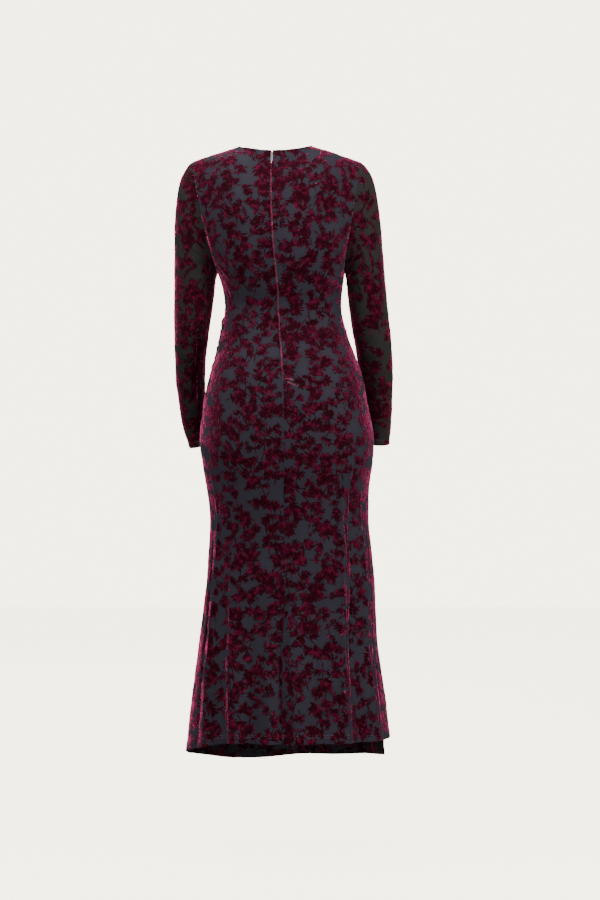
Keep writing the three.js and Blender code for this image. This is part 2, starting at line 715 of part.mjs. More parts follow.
addPiece("back_left", wall(backHalf(1), CLOTH), CLOTH_COLOUR, 0.9);
addPiece("back_right", wall(backHalf(-1), CLOTH), CLOTH_COLOUR, 0.9);
addPiece("front_over", wall(frontOver(), CLOTH), CLOTH_COLOUR, 0.9);
addPiece("front_under", wall(frontUnder(), CLOTH), CLOTH_COLOUR, 0.9);
addPiece("sleeve_left", wall(sleeve(1), CLOTH, true), SLEEVE_COLOUR, 0.9);
addPiece("sleeve_right", wall(sleeve(-1), CLOTH, true), SLEEVE_COLOUR, 0.9);
addPiece("zip_tape_left", wall(zipTape(1), ZIP.thick), TAPE_COLOUR, 0.8);
addPiece("zip_tape_right", wall(zipTape(-1), ZIP.thick), TAPE_COLOUR, 0.8);
addPiece("zip_slider", placed(sliderGeometry(), zipFrame()), METAL_COLOUR, 0.3, 1);
addPiece("zip_pull_tab", placed(tabGeometry(), zipFrame(), TAB_TILT), METAL_COLOUR, 0.3, 1);

export default dress;
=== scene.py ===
"""Looks of the wrap dress: fine cloth shells with creases, burnout velvet leaves, zip and sewing.

Millimetres until meshes are made in metres. The surfaces are those of the part's source, with cloth that
is a little thinner, closer seams and finer creases.
"""

import math

import bpy
import numpy as np
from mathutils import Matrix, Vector


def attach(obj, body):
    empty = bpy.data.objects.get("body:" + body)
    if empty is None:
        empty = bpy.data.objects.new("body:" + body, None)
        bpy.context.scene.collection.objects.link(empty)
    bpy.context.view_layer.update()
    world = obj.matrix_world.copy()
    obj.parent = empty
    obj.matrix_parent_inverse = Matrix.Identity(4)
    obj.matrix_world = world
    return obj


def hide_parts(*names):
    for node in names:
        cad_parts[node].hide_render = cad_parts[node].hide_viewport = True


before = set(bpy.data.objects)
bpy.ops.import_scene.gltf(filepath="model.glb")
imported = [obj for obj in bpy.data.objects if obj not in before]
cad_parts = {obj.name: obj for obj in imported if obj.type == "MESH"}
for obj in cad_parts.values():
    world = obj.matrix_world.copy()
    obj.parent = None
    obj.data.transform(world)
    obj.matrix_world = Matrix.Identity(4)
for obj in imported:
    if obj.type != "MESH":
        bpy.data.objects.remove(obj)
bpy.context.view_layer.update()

MM = 0.001
CLOTH = 1.1
SOLID_CLOTH = 1.3
PILE = 0.75
PILE_EDGE = -0.12
EDGE_INSET = 0.02
LAYER = 2.8
UNDERARM = -265
TOP_EDGE = -0.2
UNDER_FRONT_HEM = -410
SLIT = {"top": -819, "hem": -1290, "open": 19, "growth": 1.2}
FOLD_GROWTH = 1.2
NECK = {"centre": 3.5, "half": 76.5, "y": 5, "z": 0, "angle": 35, "blend": 18}
NECK_BACK = {"side": 1, "depth": 53, "drop": 14, "lean": 0.45, "rise": 0.89, "reach": 150}
NECK_FRONT = {"side": -1, "depth": 64, "drop": 70, "lean": 0.5, "rise": 0.87, "reach": 130}
SHOULDER = {"centre": 1.5, "half": 168.5, "y": -5, "z": -28}
YOKE_REACH = 330
SHOULDER_REACH = 260
ARMHOLE = {"out_left": 30, "out_right": -30, "round": 170, "up": 60, "tuck": 60, "blend": 50}
BUST = {"across": 78, "z": -222, "width": 78, "height": 84, "rise": 13, "half_body": 133}
GATHERS = {"count": 6, "rise": 7, "from": -470, "sewn": 7, "full": 92, "gone": 184, "start": 0.1}
FINE_GATHERS = {"count": 15, "rise": 1.2, "full": 94, "gone": 150}
GATHER_SHARE = 0.55
ZIP = {"end": -512, "width": 12, "thick": 1.0, "gap": 0.4}
ZIP_FOOT = -494
TENSION = [(22, -490, -492), (30, -494, -506)]
ZIP_OPENING = {"from": -52, "full": -22, "half": 1.5}
ZIP_RIDGE = {"full": -76, "none": -58, "rise": 1.2, "half": 2.2}
BACK_BANDS = {"skirt": 15, "zip": 7, "yoke": 10}
FRONT_ROWS = {"skirt": 18, "waist": 28, "top": 42}
UNDER_ROWS = {"bodice": 5, "top": 13}
SLEEVE_HEAD = {"middle_from": 0.3, "top_from": 0.85, "top_share": 0.85, "cap_reach": 0.62, "arm_reach": 1.1}
SLEEVE_LOW = np.array([0.55, 0, -0.83])
SLEEVE_MIDDLE = np.array([0.95, 0, -0.31])
SLEEVE_SCALE = {"turn": 0.62, "run": 300}
EDGE_STEPS = (0.8, 1.7, 2.8, 4.2, 6.2)
HEM_BANDS = ((18, 0.8), (13, 0.2))
SLIT_BAND = 9
ZIP_BAND = {"top": -53, "from_seam": 0.9, "taper": 60}
ZIP_PROFILE = ((-0.6, -0.2), (-0.2, 0.7), (0.3, 0.7), (0.6, -0.2))
TENSION_BAND = {"from_seam": 1.5, "column": 6, "taper": 6}
TENSION_PROFILE = ((-1.5, -0.3), (-0.5, 1.3), (0.5, 1.3), (1.5, -0.3))
COIL = {"top": -26, "step": 1.7, "out": 0.9, "behind": 0.45, "sizes": (1.1, 0.7, 0.65)}
STITCH = {"step": 3.4, "lift": 0.12, "sizes": (1.35, 0.32, 0.26)}
STITCH_ROWS = {"hem": (13, 18), "cuff": (11, 13)}
SLIT_TOP_SHARE = {"back_right": 0.27, "front_over": 0.25}
BY_TAB = {"x": 9, "half": 9, "y": 20, "z": -48, "lowered": 0.6}
SOFTENED = {"half": 26, "z": (-150, -100), "from_top": (1, 16), "rounds": 60, "share": 0.9}
WAVE_LENGTHS = (210, 130, 80, 46)

# Grids of the panels of the body: count and size in millimetres, across and along
GRIDS = {
    "back": ((50, 185), (216, 1240)),
    "over": ((96, 430), (212, 1180)),
    "under": ((60, 320), (66, 320)),
}


def table(names, rows):
    """Rows of a table as dictionaries with named columns."""
    return [dict(zip(names.split(), row)) for row in rows]


SECTIONS = table("z left right back front square", [
    (-1320, 196, -243, 148, 150, 2.15),
    (-1161, 179, -228, 138, 139, 2.15),
    (-1035, 163, -210, 127, 128, 2.15),
    (-909, 147, -204, 120, 118, 2.2),
    (-846, 143, -198, 118, 114, 2.2),
    (-783, 140, -192, 120, 111, 2.2),
    (-720, 146, -193, 125, 110, 2.2),
    (-668, 155, -200, 132, 110, 2.25),
    (-615, 162, -203, 136, 111, 2.25),
    (-540, 154, -190, 131, 111, 2.25),
    (-489, 143, -181, 120, 108, 2.25),
    (-447, 129, -167, 107, 103, 2.25),
    (-405, 119, -151, 92, 97, 2.2),
    (-372, 113, -141, 83, 92, 2.2),
    (-338, 109, -134.5, 80, 90, 2.2),
    (-300, 113, -137, 89, 97, 2.25),
    (-265, 124, -142, 96, 106, 2.3),
])
SEAM_ANGLES = table("z angle", [
    (-1320, 3.3), (-783, 3.3), (-615, 1.5), (-531, 0.9), (-450, 3.2), (-279, 4.6), (0, 1.8),
])
HEM = table("angle z", [
    (-90, -1237), (30, -1236), (50, -1247), (90, -1268), (135, -1290),
    (160, -1302), (200, -1295), (235, -1290), (270, -1282),
])
WRAP_EDGE = table("angle z", [
    (90, -366), (115, -346), (140, -306), (160, -260), (180, -203), (198, -128), (215, 0),
])
FOLDS = table("start_angle hem_angle start half rise", [
    (64, 51, -740, 10, 8),
    (50, 41, -840, 9, -6),
    (36, 31, -860, 9, 7),
    (24, 21, -860, 8, -7),
    (12, 11, -880, 8, 6),
    (3.3, 2.6, -820, 7, -7),
    (-4, -5, -860, 8, 7),
    (-18, -16, -860, 11, -8),
    (-42, -33, -600, 8, 10),
    (-51, -43, -620, 9, -9),
    (-66, -60, -740, 10, 7),
    (108, 112, -760, 13, 8),
    (128, 131, -820, 12, -8),
    (146, 149, -700, 12, 10),
    (166, 168, -840, 12, -7),
    (185, 187, -780, 12, 8),
    (204, 207, -860, 12, -8),
    (222, 226, -720, 12, 9),
    (241, 245, -840, 12, -6),
])
ARMS = {
    1: table("z outer inner y half", [
        (-290, 216, 132, -4, 41),
        (-363, 216.5, 141, -8, 38),
        (-405, 216.5, 146, -16, 36),
        (-447, 215, 151, -30, 33),
        (-489, 213.5, 153, -46, 31),
        (-531, 209, 152, -62, 29),
        (-573, 203.5, 147, -77, 28),
        (-622, 190, 134, -90, 27),
    ]),
    -1: table("z outer inner y half", [
        (-290, -228, -147, -4, 41),
        (-363, -235, -156, -8, 38),
        (-405, -240, -164, -14, 36),
        (-447, -242.5, -171, -26, 33),
        (-489, -243.5, -179, -40, 31),
        (-531, -243.5, -184, -52, 29),
        (-573, -243, -186, -65, 28),
        (-620, -239, -183, -77, 27),
    ]),
}

# Creases of the body: ends as angle and height, sideways bow, half width and rise, all but the angles in mm
CREASES = table("angle z to_angle to_z bow half rise", [
    (2, -490, -13, -489, 1, 3.2, 2.2),
    (2, -500, -11, -509, -1, 3.2, 2.0),
    (2, -495, -9, -498, 0, 2.6, -1.4),
    (3, -505, 16, -520, 1, 4, 1.2),
    (-4, -362, -26, -352, 4, 7, 2.2),
    (-6, -378, -46, -378, 3, 7, -2.0),
    (-12, -388, -44, -396, -3, 8, 2.0),
    (88, -384, 48, -366, 5, 6, 2.6),
    (88, -398, 44, -388, 4, 6, -2.0),
    (88, -414, 40, -408, 3, 6, 2.4),
    (82, -434, 35, -430, 2, 7, -1.8),
    (80, -452, 30, -462, 3, 8, 2.0),
    (66, -462, 34, -480, 3, 7, -1.6),
    (-88, -340, -58, -350, -4, 6, 2.0),
    (-88, -366, -52, -372, -3, 7, -1.7),
    (-88, -388, -60, -394, -3, 7, 1.7),
    (79, -232, 49, -294, 6, 7, 2.6),
    (86, -262, 60, -318, 6, 6, -2.0),
    (70, -226, 40, -276, 5, 7, -1.6),
    (-74, -258, -43, -304, -6, 7, 2.6),
    (-86, -272, -60, -322, -6, 6, -2.0),
    (-66, -240, -38, -284, -5, 7, -1.6),
    (-41, -630, -32, -1236, 2, 5.5, 7.5),
    (-49, -660, -38, -1236, 2, 6.0, -6.8),
    (-60, -720, -57.5, -1236, 2, 6, 5.1),
    (-68, -760, -66, -1236, 2, 6, -3.9),
    (60, -700, 52.5, -1236, -3, 5.5, 6.0),
    (68, -760, 60, -1240, -3, 6.5, -5.1),
    (43, -860, 32.5, -1236, -3, 6, 4.2),
    (25, -940, 22, -1236, 2, 6, -3.6),
    (15, -930, 11, -1236, 2, 5.5, 3.6),
    (6, -880, 4, -1236, 0, 5, -3.3),
    (1, -900, -4.5, -1236, 0, 5, 3.6),
    (-19, -920, -16, -1236, 2, 6, -3.6),
    (-27, -880, -25, -1236, 2, 6, 3.0),
    (104, -300, 128, -262, -5, 7, 2.0),
    (100, -322, 132, -284, -5, 7, -1.6),
    (256, -300, 236, -268, 5, 7, 2.0),
    (262, -330, 232, -300, 4, 8, -1.6),
    (250, -470, 216, -452, 4, 9, 1.6),
    (112, -640, 116, -1280, 3, 7, 4.5),
    (120, -760, 124, -1286, 3, 7, -3.9),
    (150, -560, 152, -1296, 4, 8, 5.1),
    (158, -700, 161, -1300, 4, 7, -2.8),
    (190, -660, 192, -1296, -3, 7, 3.9),
    (214, -760, 216, -1292, -3, 8, -3.9),
    (228, -600, 232, -1290, -3, 7, 4.8),
    (247, -700, 250, -1286, 2, 7, -3.6),
])

# Creases of the sleeves, mirrored on the right one: ends as turn and run, then as above
SLEEVE_CREASES = table("side turn run to_turn to_run bow half rise", [
    (1, 20, 0.42, 96, 0.62, 6, 7, 2.6),
    (1, 12, 0.52, 88, 0.78, 6, 6, -2.0),
    (1, 10, 0.70, 80, 0.94, 5, 7, 2.0),
    (1, 24, 1.24, 104, 1.30, 5, 7, 2.0),
    (1, 30, 1.34, 118, 1.37, -5, 7, -1.8),
    (1, 36, 1.43, 128, 1.41, 4, 7, 2.0),
    (1, 40, 1.60, 132, 1.63, 4, 6, 1.8),
    (1, 46, 1.68, 140, 1.69, -3, 6, -1.6),
    (1, 50, 1.75, 150, 1.76, 3, 5.5, 1.8),
    (1, 40, 1.82, 144, 1.81, 3, 5, -1.5),
    (1, 56, 1.88, 150, 1.89, 3, 5, 1.6),
    (1, 300, 0.60, 352, 0.82, 5, 7, 2.2),
    (1, 290, 1.30, 350, 1.34, 5, 8, 2.2),
    (1, 284, 1.40, 346, 1.40, -4, 7, -2.0),
    (1, 290, 1.50, 350, 1.47, 4, 8, 2.0),
    (1, 230, 1.72, 320, 1.74, 3, 6, 1.6),
    (1, 236, 1.84, 326, 1.84, 3, 6, -1.4),
    (-1, 18, 0.40, 92, 0.64, 6, 7, 2.6),
    (-1, 10, 0.54, 84, 0.80, 6, 6, -2.0),
    (-1, 10, 0.72, 76, 0.97, 5, 7, 2.0),
    (-1, 20, 1.20, 100, 1.27, 5, 8, 2.0),
    (-1, 26, 1.31, 110, 1.36, -5, 7, -1.8),
    (-1, 30, 1.42, 124, 1.42, 4, 7, 2.2),
    (-1, 44, 1.57, 128, 1.61, 4, 6, 1.8),
    (-1, 48, 1.66, 146, 1.67, -3, 6, -1.6),
    (-1, 44, 1.74, 140, 1.73, 3, 5.5, 1.8),
    (-1, 52, 1.81, 152, 1.83, 3, 5, -1.5),
    (-1, 48, 1.90, 146, 1.89, 3, 5, 1.6),
    (-1, 304, 0.62, 350, 0.84, 5, 7, 2.2),
    (-1, 288, 1.28, 350, 1.32, 5, 8, 2.2),
    (-1, 286, 1.39, 344, 1.41, -4, 7, -2.0),
    (-1, 292, 1.52, 350, 1.50, 4, 8, 2.0),
    (-1, 232, 1.70, 322, 1.72, 3, 6, 1.6),
    (-1, 238, 1.83, 328, 1.82, 3, 6, -1.4),
])


def ease(low, high, value):
    """Goes smoothly from 0 at low to 1 at high, whichever of them is larger."""
    part = np.clip((value - low) / (high - low), 0, 1)
    return part * part * (3 - 2 * part)


def mix(a, b, part):
    return a + (b - a) * part


def bump(value):
    """A rounded bump, 1 at its middle and 0 at its edges."""
    return 0.5 + 0.5 * np.cos(np.pi * np.minimum(1, np.abs(value)))


def stack(*parts):
    return np.stack(np.broadcast_arrays(*[np.asarray(part, float) for part in parts]), -1)


def unit(vectors):
    return vectors / np.maximum(np.linalg.norm(vectors, axis=-1, keepdims=True), 1e-12)


def table_curve(rows, at, column):
    """Smooth curve through one column of a table that never overshoots its rows."""
    ordered = sorted(rows, key=lambda row: row[at])
    xs = np.array([row[at] for row in ordered], float)
    ys = np.array([row[column] for row in ordered], float)
    steps = np.diff(ys) / np.diff(xs)
    product = steps[:-1] * steps[1:]
    total = steps[:-1] + steps[1:]
    inner = np.where(product > 0, 2 * product / np.where(product > 0, total, 1), 0)
    slopes = np.concatenate([steps[:1], inner, steps[-1:]])

    def curve(x):
        i = np.clip(np.searchsorted(xs, x) - 1, 0, len(xs) - 2)
        width = xs[i + 1] - xs[i]
        t = np.clip((x - xs[i]) / width, 0, 1)
        lead = ys[i] * (1 + 2 * t) * (1 - t) ** 2 + slopes[i] * width * t * (1 - t) ** 2
        tail = ys[i + 1] * t * t * (3 - 2 * t) - slopes[i + 1] * width * t * t * (1 - t)
        return lead + tail

    return curve


def table_curves(rows):
    """Curves through all other columns of a table over its first one."""
    at, *columns = rows[0]
    return {column: table_curve(rows, at, column) for column in columns}


section = table_curves(SECTIONS)
seam_angle = table_curves(SEAM_ANGLES)["angle"]
hem_height = table_curves(HEM)["z"]
wrap_edge = table_curves(WRAP_EDGE)["z"]
arm = {side: table_curves(rows) for side, rows in ARMS.items()}


def fold_rise(angle, z):
    rise = 0
    for fold in FOLDS:
        hem = hem_height(fold["hem_angle"])
        part = np.clip((fold["start"] - z) / (fold["start"] - hem), 0, 1.1)
        middle = mix(fold["start_angle"], fold["hem_angle"], part)
        rise = rise + fold["rise"] * part**FOLD_GROWTH * bump((angle - middle) / fold["half"])
    return rise


def tube(angle, z):
    """Body of the dress below the underarm."""
    left = section["left"](z)
    right = section["right"](z)
    half = (left - right) / 2
    sine = np.sin(np.radians(angle))
    cosine = np.cos(np.radians(angle))
    depth = np.where(cosine > 0, section["back"](z), section["front"](z))
    square = section["square"](z)
    scale = (np.abs(sine) ** square + np.abs(cosine) ** square) ** (-1 / square)
    outward = unit(stack(sine / half, cosine / depth, 0 * sine))
    point = stack((left + right) / 2 + half * scale * sine, depth * scale * cosine, z)
    return point + outward * fold_rise(angle, z)[..., None]


def hermite(start, start_tangent, end, end_tangent, t):
    t = t[..., None]
    point = start * (1 + 2 * t) * (1 - t) ** 2 + start_tangent * t * (1 - t) ** 2
    return point + end * t * t * (3 - 2 * t) - end_tangent * t * t * (1 - t)


def top_edge(neck, side, turn):
    """Top edge of the back or front: the neckline up to the neck point, then the shoulder seam."""
    quarter = np.pi / 2 * np.minimum(turn / NECK["angle"], 1)
    across = np.sin(quarter)
    neckline = stack(
        NECK["centre"] + side * NECK["half"] * across,
        NECK["y"] + neck["side"] * neck["depth"] * np.cos(quarter),
        NECK["z"] - neck["drop"] * (1 - across * across),
    )
    along = (turn - NECK["angle"]) / (90 - NECK["angle"])
    shoulder = stack(
        mix(NECK["centre"] + side * NECK["half"], SHOULDER["centre"] + side * SHOULDER["half"], along),
        mix(NECK["y"], SHOULDER["y"], along),
        mix(NECK["z"], SHOULDER["z"], along),
    )
    return np.where((turn <= NECK["angle"])[..., None], neckline, shoulder)


def yoke(neck, angle, z):
    """Upper back or front: columns from the underarm section up to the neckline and shoulder seam."""
    turn = angle if neck["side"] > 0 else 180 - angle
    side = np.where(turn < 0, -1, 1)
    away = np.abs(turn)
    start = tube(angle, UNDERARM + 0 * angle)
    slope = start - tube(angle, UNDERARM - 1 + 0 * angle)
    to_armhole = ease(ARMHOLE["blend"], 90, away)
    to_shoulder = ease(NECK["angle"] - NECK["blend"], NECK["angle"], away)
    shoulder_slope = (SHOULDER["z"] - NECK["z"]) / (SHOULDER["half"] - NECK["half"])
    out = np.where(side > 0, ARMHOLE["out_left"], ARMHOLE["out_right"])
    rounding = stack(side * out, neck["side"] * ARMHOLE["round"], ARMHOLE["up"])
    leaning = stack(0 * away, -neck["side"] * neck["lean"], neck["rise"]) * neck["reach"]
    crossing = stack(
        -side * ARMHOLE["tuck"] * to_armhole,
        -neck["side"] * mix(SHOULDER_REACH, ARMHOLE["round"], to_armhole),
        -shoulder_slope * ARMHOLE["tuck"] * to_armhole,
    )
    rise = (z - UNDERARM) / (NECK["z"] - UNDERARM)
    return hermite(
        start,
        mix(slope * YOKE_REACH, rounding, to_armhole[..., None]),
        top_edge(neck, side, away),
        mix(leaning, crossing, to_shoulder[..., None]),
        rise,
    )


def bust_rise(angle, z):
    across = np.abs(np.sin(np.radians(angle))) * BUST["half_body"]
    reach = np.hypot((across - BUST["across"]) / BUST["width"], (z - BUST["z"]) / BUST["height"])
    return BUST["rise"] * bump(reach)


def back_surface(angle, z):
    angle, z = np.broadcast_arrays(np.asarray(angle, float), np.asarray(z, float))
    return np.where((z <= UNDERARM)[..., None], tube(angle, z), yoke(NECK_BACK, angle, z))


def front_surface(angle, z):
    angle, z = np.broadcast_arrays(np.asarray(angle, float), np.asarray(z, float))
    point = np.where((z <= UNDERARM)[..., None], tube(angle, z), yoke(NECK_FRONT, angle, z))
    point[..., 1] -= bust_rise(angle, z)
    return point


def skin(surface, angle, z, lift=0.0):
    """Point of a surface moved out by lift, its outward direction, and millimetres for each degree."""
    around = surface(angle + 0.2, z) - surface(angle - 0.2, z)
    up = surface(angle, z + 0.5) - surface(angle, z - 0.5)
    normal = unit(np.cross(up, around))
    point = surface(angle, z) + normal * np.asarray(lift, float)[..., None]
    return point, normal, np.linalg.norm(around, axis=-1) / 0.4


def seam_half_gap(z):
    return mix(EDGE_INSET, ZIP_OPENING["half"], ease(ZIP_OPENING["from"], ZIP_OPENING["full"], z))


def seam_edge(side, z, offset):
    middle = seam_angle(z)
    return middle + side * offset / skin(back_surface, middle, z)[2]


def knot_height(rows, heights, row):
    """Height on a line of knots, whose heights are arrays."""
    height = heights[0] + 0 * row
    for low, high, start, end in zip(rows, rows[1:], heights, heights[1:]):
        part = (row - low) / (high - low)
        height = np.where(row >= low, mix(start, end, part), height)
    return height


def wrap_spread(angle):
    low = WRAP_EDGE[0]["z"]
    return (wrap_edge(np.minimum(angle, WRAP_EDGE[-1]["angle"])) - low) / -low


def layer_share(angle):
    return ease(150, 235, angle)


def gather_rise(angle, row, gathers):
    climb = (row - FRONT_ROWS["skirt"]) / (FRONT_ROWS["top"] - FRONT_ROWS["skirt"])
    uneven = climb + 0.018 * np.sin(23 * climb + 1) + 0.012 * np.sin(41 * climb)
    wave = (0.5 - 0.5 * np.cos(2 * np.pi * gathers["count"] * uneven)) * (0.75 + 0.25 * np.sin(17 * climb))
    held = 1 - np.exp(-np.maximum(angle - 90, 0) / GATHERS["sewn"])
    fading = 1 - ease(gathers["full"], gathers["gone"], angle)
    rise = GATHER_SHARE * gathers["rise"] * wave * held * fading
    return np.where(climb > 0, rise * ease(0, GATHERS["start"], climb), 0)


def slit_edge(z):
    return 270 - SLIT["open"] * ease(SLIT["top"], SLIT["hem"], z) ** SLIT["growth"]


def back_grid(side, across, along):
    """One back half, from the centre-back seam out to the side, and from the hem up."""
    across, row = np.meshgrid(across, along * sum(BACK_BANDS.values()))
    zip_row = BACK_BANDS["skirt"]
    arm_row = zip_row + BACK_BANDS["zip"]
    hem = hem_height(side * 90 * across)
    rows = [0, zip_row, arm_row, arm_row + BACK_BANDS["yoke"]]
    z = knot_height(rows, [hem, ZIP["end"], UNDERARM, TOP_EDGE], row)
    seam = seam_edge(side, z, seam_half_gap(z))
    edge = side * (90 - EDGE_INSET / skin(back_surface, side * 90 + 0 * z, z)[2])
    angle = mix(seam, edge, across)
    point, normal, _ = skin(back_surface, angle, z)
    return point, normal, angle, z


def front_angle(across, z):
    first = 90 + EDGE_INSET / skin(front_surface, 90 + 0 * z, z)[2]
    last = slit_edge(z) - EDGE_INSET / skin(front_surface, 270 + 0 * z, z)[2]
    return mix(first, last, across)


def over_grid(across, along):
    """Right front, laid over, from the left side seam to the right one and from hem to wrap edge."""
    across, row = np.meshgrid(across, along * FRONT_ROWS["top"])
    around = 90 + 180 * across
    spread = wrap_spread(around)
    low = WRAP_EDGE[0]["z"]
    share = (FRONT_ROWS["waist"] - FRONT_ROWS["skirt"]) / (FRONT_ROWS["top"] - FRONT_ROWS["skirt"])
    z = knot_height(
        [0, FRONT_ROWS["skirt"], FRONT_ROWS["waist"], FRONT_ROWS["top"]],
        [
            hem_height(around),
            mix(GATHERS["from"], ZIP["end"], spread),
            mix(mix(GATHERS["from"], low, share), UNDERARM, spread),
            mix(low, TOP_EDGE, spread),
        ],
        row,
    )
    angle = front_angle(across, z)
    lift = LAYER * (1 - layer_share(angle)) * ease(-520, -440, z)
    lift = lift + gather_rise(angle, row, GATHERS) + gather_rise(angle, row, FINE_GATHERS)
    point, normal, _ = skin(front_surface, angle, z, lift)
    return point, normal, angle, z


def under_grid(across, along):
    """Left front bodice, laid under, which ends a little below the waist."""
    across, row = np.meshgrid(across, along * UNDER_ROWS["top"])
    around = 90 + 180 * across
    spread = wrap_spread(360 - around)
    low = WRAP_EDGE[0]["z"]
    share = UNDER_ROWS["bodice"] / UNDER_ROWS["top"]
    z = knot_height(
        [0, UNDER_ROWS["bodice"], UNDER_ROWS["top"]],
        [
            UNDER_FRONT_HEM + 0 * around,
            mix(mix(UNDER_FRONT_HEM, low, share), UNDERARM, spread),
            mix(low, TOP_EDGE, spread),
        ],
        row,
    )
    angle = front_angle(across, z)
    point, normal, _ = skin(front_surface, angle, z, -LAYER * layer_share(angle))
    return point, normal, angle, z


def armhole(side, turn):
    """Armhole: up the back from the underarm to the shoulder point, and down the front."""
    back = turn <= 180
    climb = np.where(back, turn / 180, (360 - turn) / 180)
    z = mix(UNDERARM, 0, climb)
    front_at = 180 - side * 90 + 0 * turn
    back_at = side * 90 + 0 * turn
    back_point = back_surface(back_at, z)
    front_point = front_surface(front_at, z)
    inside = np.where(back[..., None], back_surface(back_at - side, z), front_surface(front_at + side, z))
    point = np.where(back[..., None], back_point, front_point)
    return point, unit(point - inside), climb


def arm_centre(side, z):
    return stack((arm[side]["outer"](z) + arm[side]["inner"](z)) / 2, arm[side]["y"](z), z)


def arm_point(side, z, turn):
    """Point of the ring round the arm at a height, square to the arm."""
    half = (arm[side]["outer"](z) - arm[side]["inner"](z)) / 2
    lower = np.maximum(z - 4, ARMS[side][-1]["z"])
    axis = unit(arm_centre(side, lower + 4) - arm_centre(side, lower))
    x = -half * np.cos(np.radians(turn))
    y = arm[side]["half"](z) * np.sin(np.radians(turn))
    offset = stack(x, y, -(x * axis[..., 0] + y * axis[..., 1]) / axis[..., 2])
    return arm_centre(side, z) + offset


def sleeve_surface(side, turn, run):
    """Run 0 to 1 is the cap, from the armhole to the upper arm, and 1 to 2 is the arm."""
    turn, run = np.broadcast_arrays(np.asarray(turn, float) % 360, np.asarray(run, float))
    top = ARMS[side][0]["z"]
    cuff = ARMS[side][-1]["z"]
    lower = arm_point(side, mix(top, cuff, np.maximum(run, 1) - 1), turn)
    point, outward, climb = armhole(side, turn)
    end = arm_point(side, top + 0 * turn, turn)
    below = arm_point(side, top - 1 + 0 * turn, turn)
    mirror = np.array([side, 1, 1])
    rising = ease(0, SLEEVE_HEAD["middle_from"], climb)[..., None]
    start = mix(SLEEVE_LOW, SLEEVE_MIDDLE, rising) * mirror
    at_top = SLEEVE_HEAD["top_share"] * ease(SLEEVE_HEAD["middle_from"], SLEEVE_HEAD["top_from"], climb)
    start = unit(mix(start, outward, at_top[..., None]))
    chord = np.linalg.norm(point - end, axis=-1, keepdims=True)
    down = unit(below - end) * chord * SLEEVE_HEAD["arm_reach"]
    begin = point - start * EDGE_INSET
    cap = hermite(begin, start * chord * SLEEVE_HEAD["cap_reach"], end, down, np.minimum(run, 1))
    return np.where((run > 1)[..., None], lower, cap)


def sleeve_grid(side, across, along):
    """Sleeve, round from the underarm seam over the back, and from the armhole down to the cuff."""
    turn, run = np.meshgrid(across * 360, along * 2)
    point = sleeve_surface(side, turn, run)
    below = sleeve_surface(side, turn, np.minimum(run + 0.01, 2))
    down = below - sleeve_surface(side, turn, np.maximum(run - 0.01, 0))
    around = sleeve_surface(side, turn + 1, run) - sleeve_surface(side, turn - 1, run)
    return point, unit(np.cross(around, down) * side), turn, run


def lengths(points, axis):
    """Length along the grid from its first row or column."""
    steps = np.linalg.norm(np.diff(points, axis=axis), axis=-1)
    start = np.zeros_like(np.take(steps, [0], axis))
    return np.cumsum(np.concatenate([start, steps], axis), axis)


def at_run(wanted, run, rows):
    """Rows of three values at wanted places along their run."""
    return np.stack([np.interp(wanted, run, rows[:, k]) for k in range(3)], 1)


def crease_rise(crease, x, y, to_x, to_y, at_x, at_y):
    """Rise of one crease at places given in the same millimetres as its ends."""
    run_x = to_x - x
    run_y = to_y - y
    length = math.hypot(run_x, run_y)
    t = ((at_x - x) * run_x + (at_y - y) * run_y) / length**2
    off = ((at_x - x) * run_y - (at_y - y) * run_x) / length
    inside = np.clip(t, 0, 1)
    off = off - crease["bow"] * 4 * inside * (1 - inside)
    beyond = (t - inside) * length
    fading = np.sin(np.pi * np.clip(t, 0.04, 0.96)) ** 0.6
    return crease["rise"] * bump(np.hypot(off, beyond) / crease["half"]) * fading


def body_creases(angle, z, points):
    """Creases of the body at every place of a grid of angles and heights."""
    per_degree = np.hypot(points[..., 0], points[..., 1]) * np.pi / 180 * 1.05
    rise = np.zeros_like(angle)
    for crease in CREASES:
        low, high = sorted((crease["z"], crease["to_z"]))
        near = np.abs(z - (low + high) / 2) < (high - low) / 2 + 30
        if near.any():
            scale = float(np.median(per_degree[near]))
            start = (crease["angle"] * scale, crease["z"])
            end = (crease["to_angle"] * scale, crease["to_z"])
            rise += crease_rise(crease, *start, *end, angle * scale, z)
    return rise


def sleeve_creases(side, turn, run):
    """Creases of a sleeve, with one scale for all turns and one for all runs."""
    rise = np.zeros_like(turn)
    wide = SLEEVE_SCALE["turn"]
    long = SLEEVE_SCALE["run"]
    for crease in SLEEVE_CREASES:
        if crease["side"] == side:
            start = (crease["turn"] * wide, crease["run"] * long)
            end = (crease["to_turn"] * wide, crease["to_run"] * long)
            rise += crease_rise(crease, *start, *end, turn * wide, run * long)
    return rise


def waviness(points, seed, height):
    """Slow unevenness of hanging cloth, the same wherever two grids have the same point."""
    rng = np.random.default_rng(seed)
    rise = 0
    for length in WAVE_LENGTHS:
        for _ in range(3):
            direction = unit(rng.normal(size=3)) * 2 * np.pi / length
            rise = rise + np.sin(points @ direction + rng.random() * 6.3) * length / WAVE_LENGTHS[0]
    return rise * height / 2.5


def seam_dip(distance, depth=0.8):
    """Cloth sinks in beside a sewn seam, and the allowances behind it raise it a little further on."""
    near = distance / 2.2
    return 0.35 * np.exp(-(((distance - 7) / 4) ** 2)) - depth * near * np.exp(1 - near)


def hem_band(distance, width, rise=0.5):
    """A turned hem stands a little proud, and the stitches that hold it press in."""
    stitched = 0.45 * np.exp(-(((distance - width) / 1.2) ** 2))
    return rise * ease(width + 1.2, width - 1.2, distance) - stitched


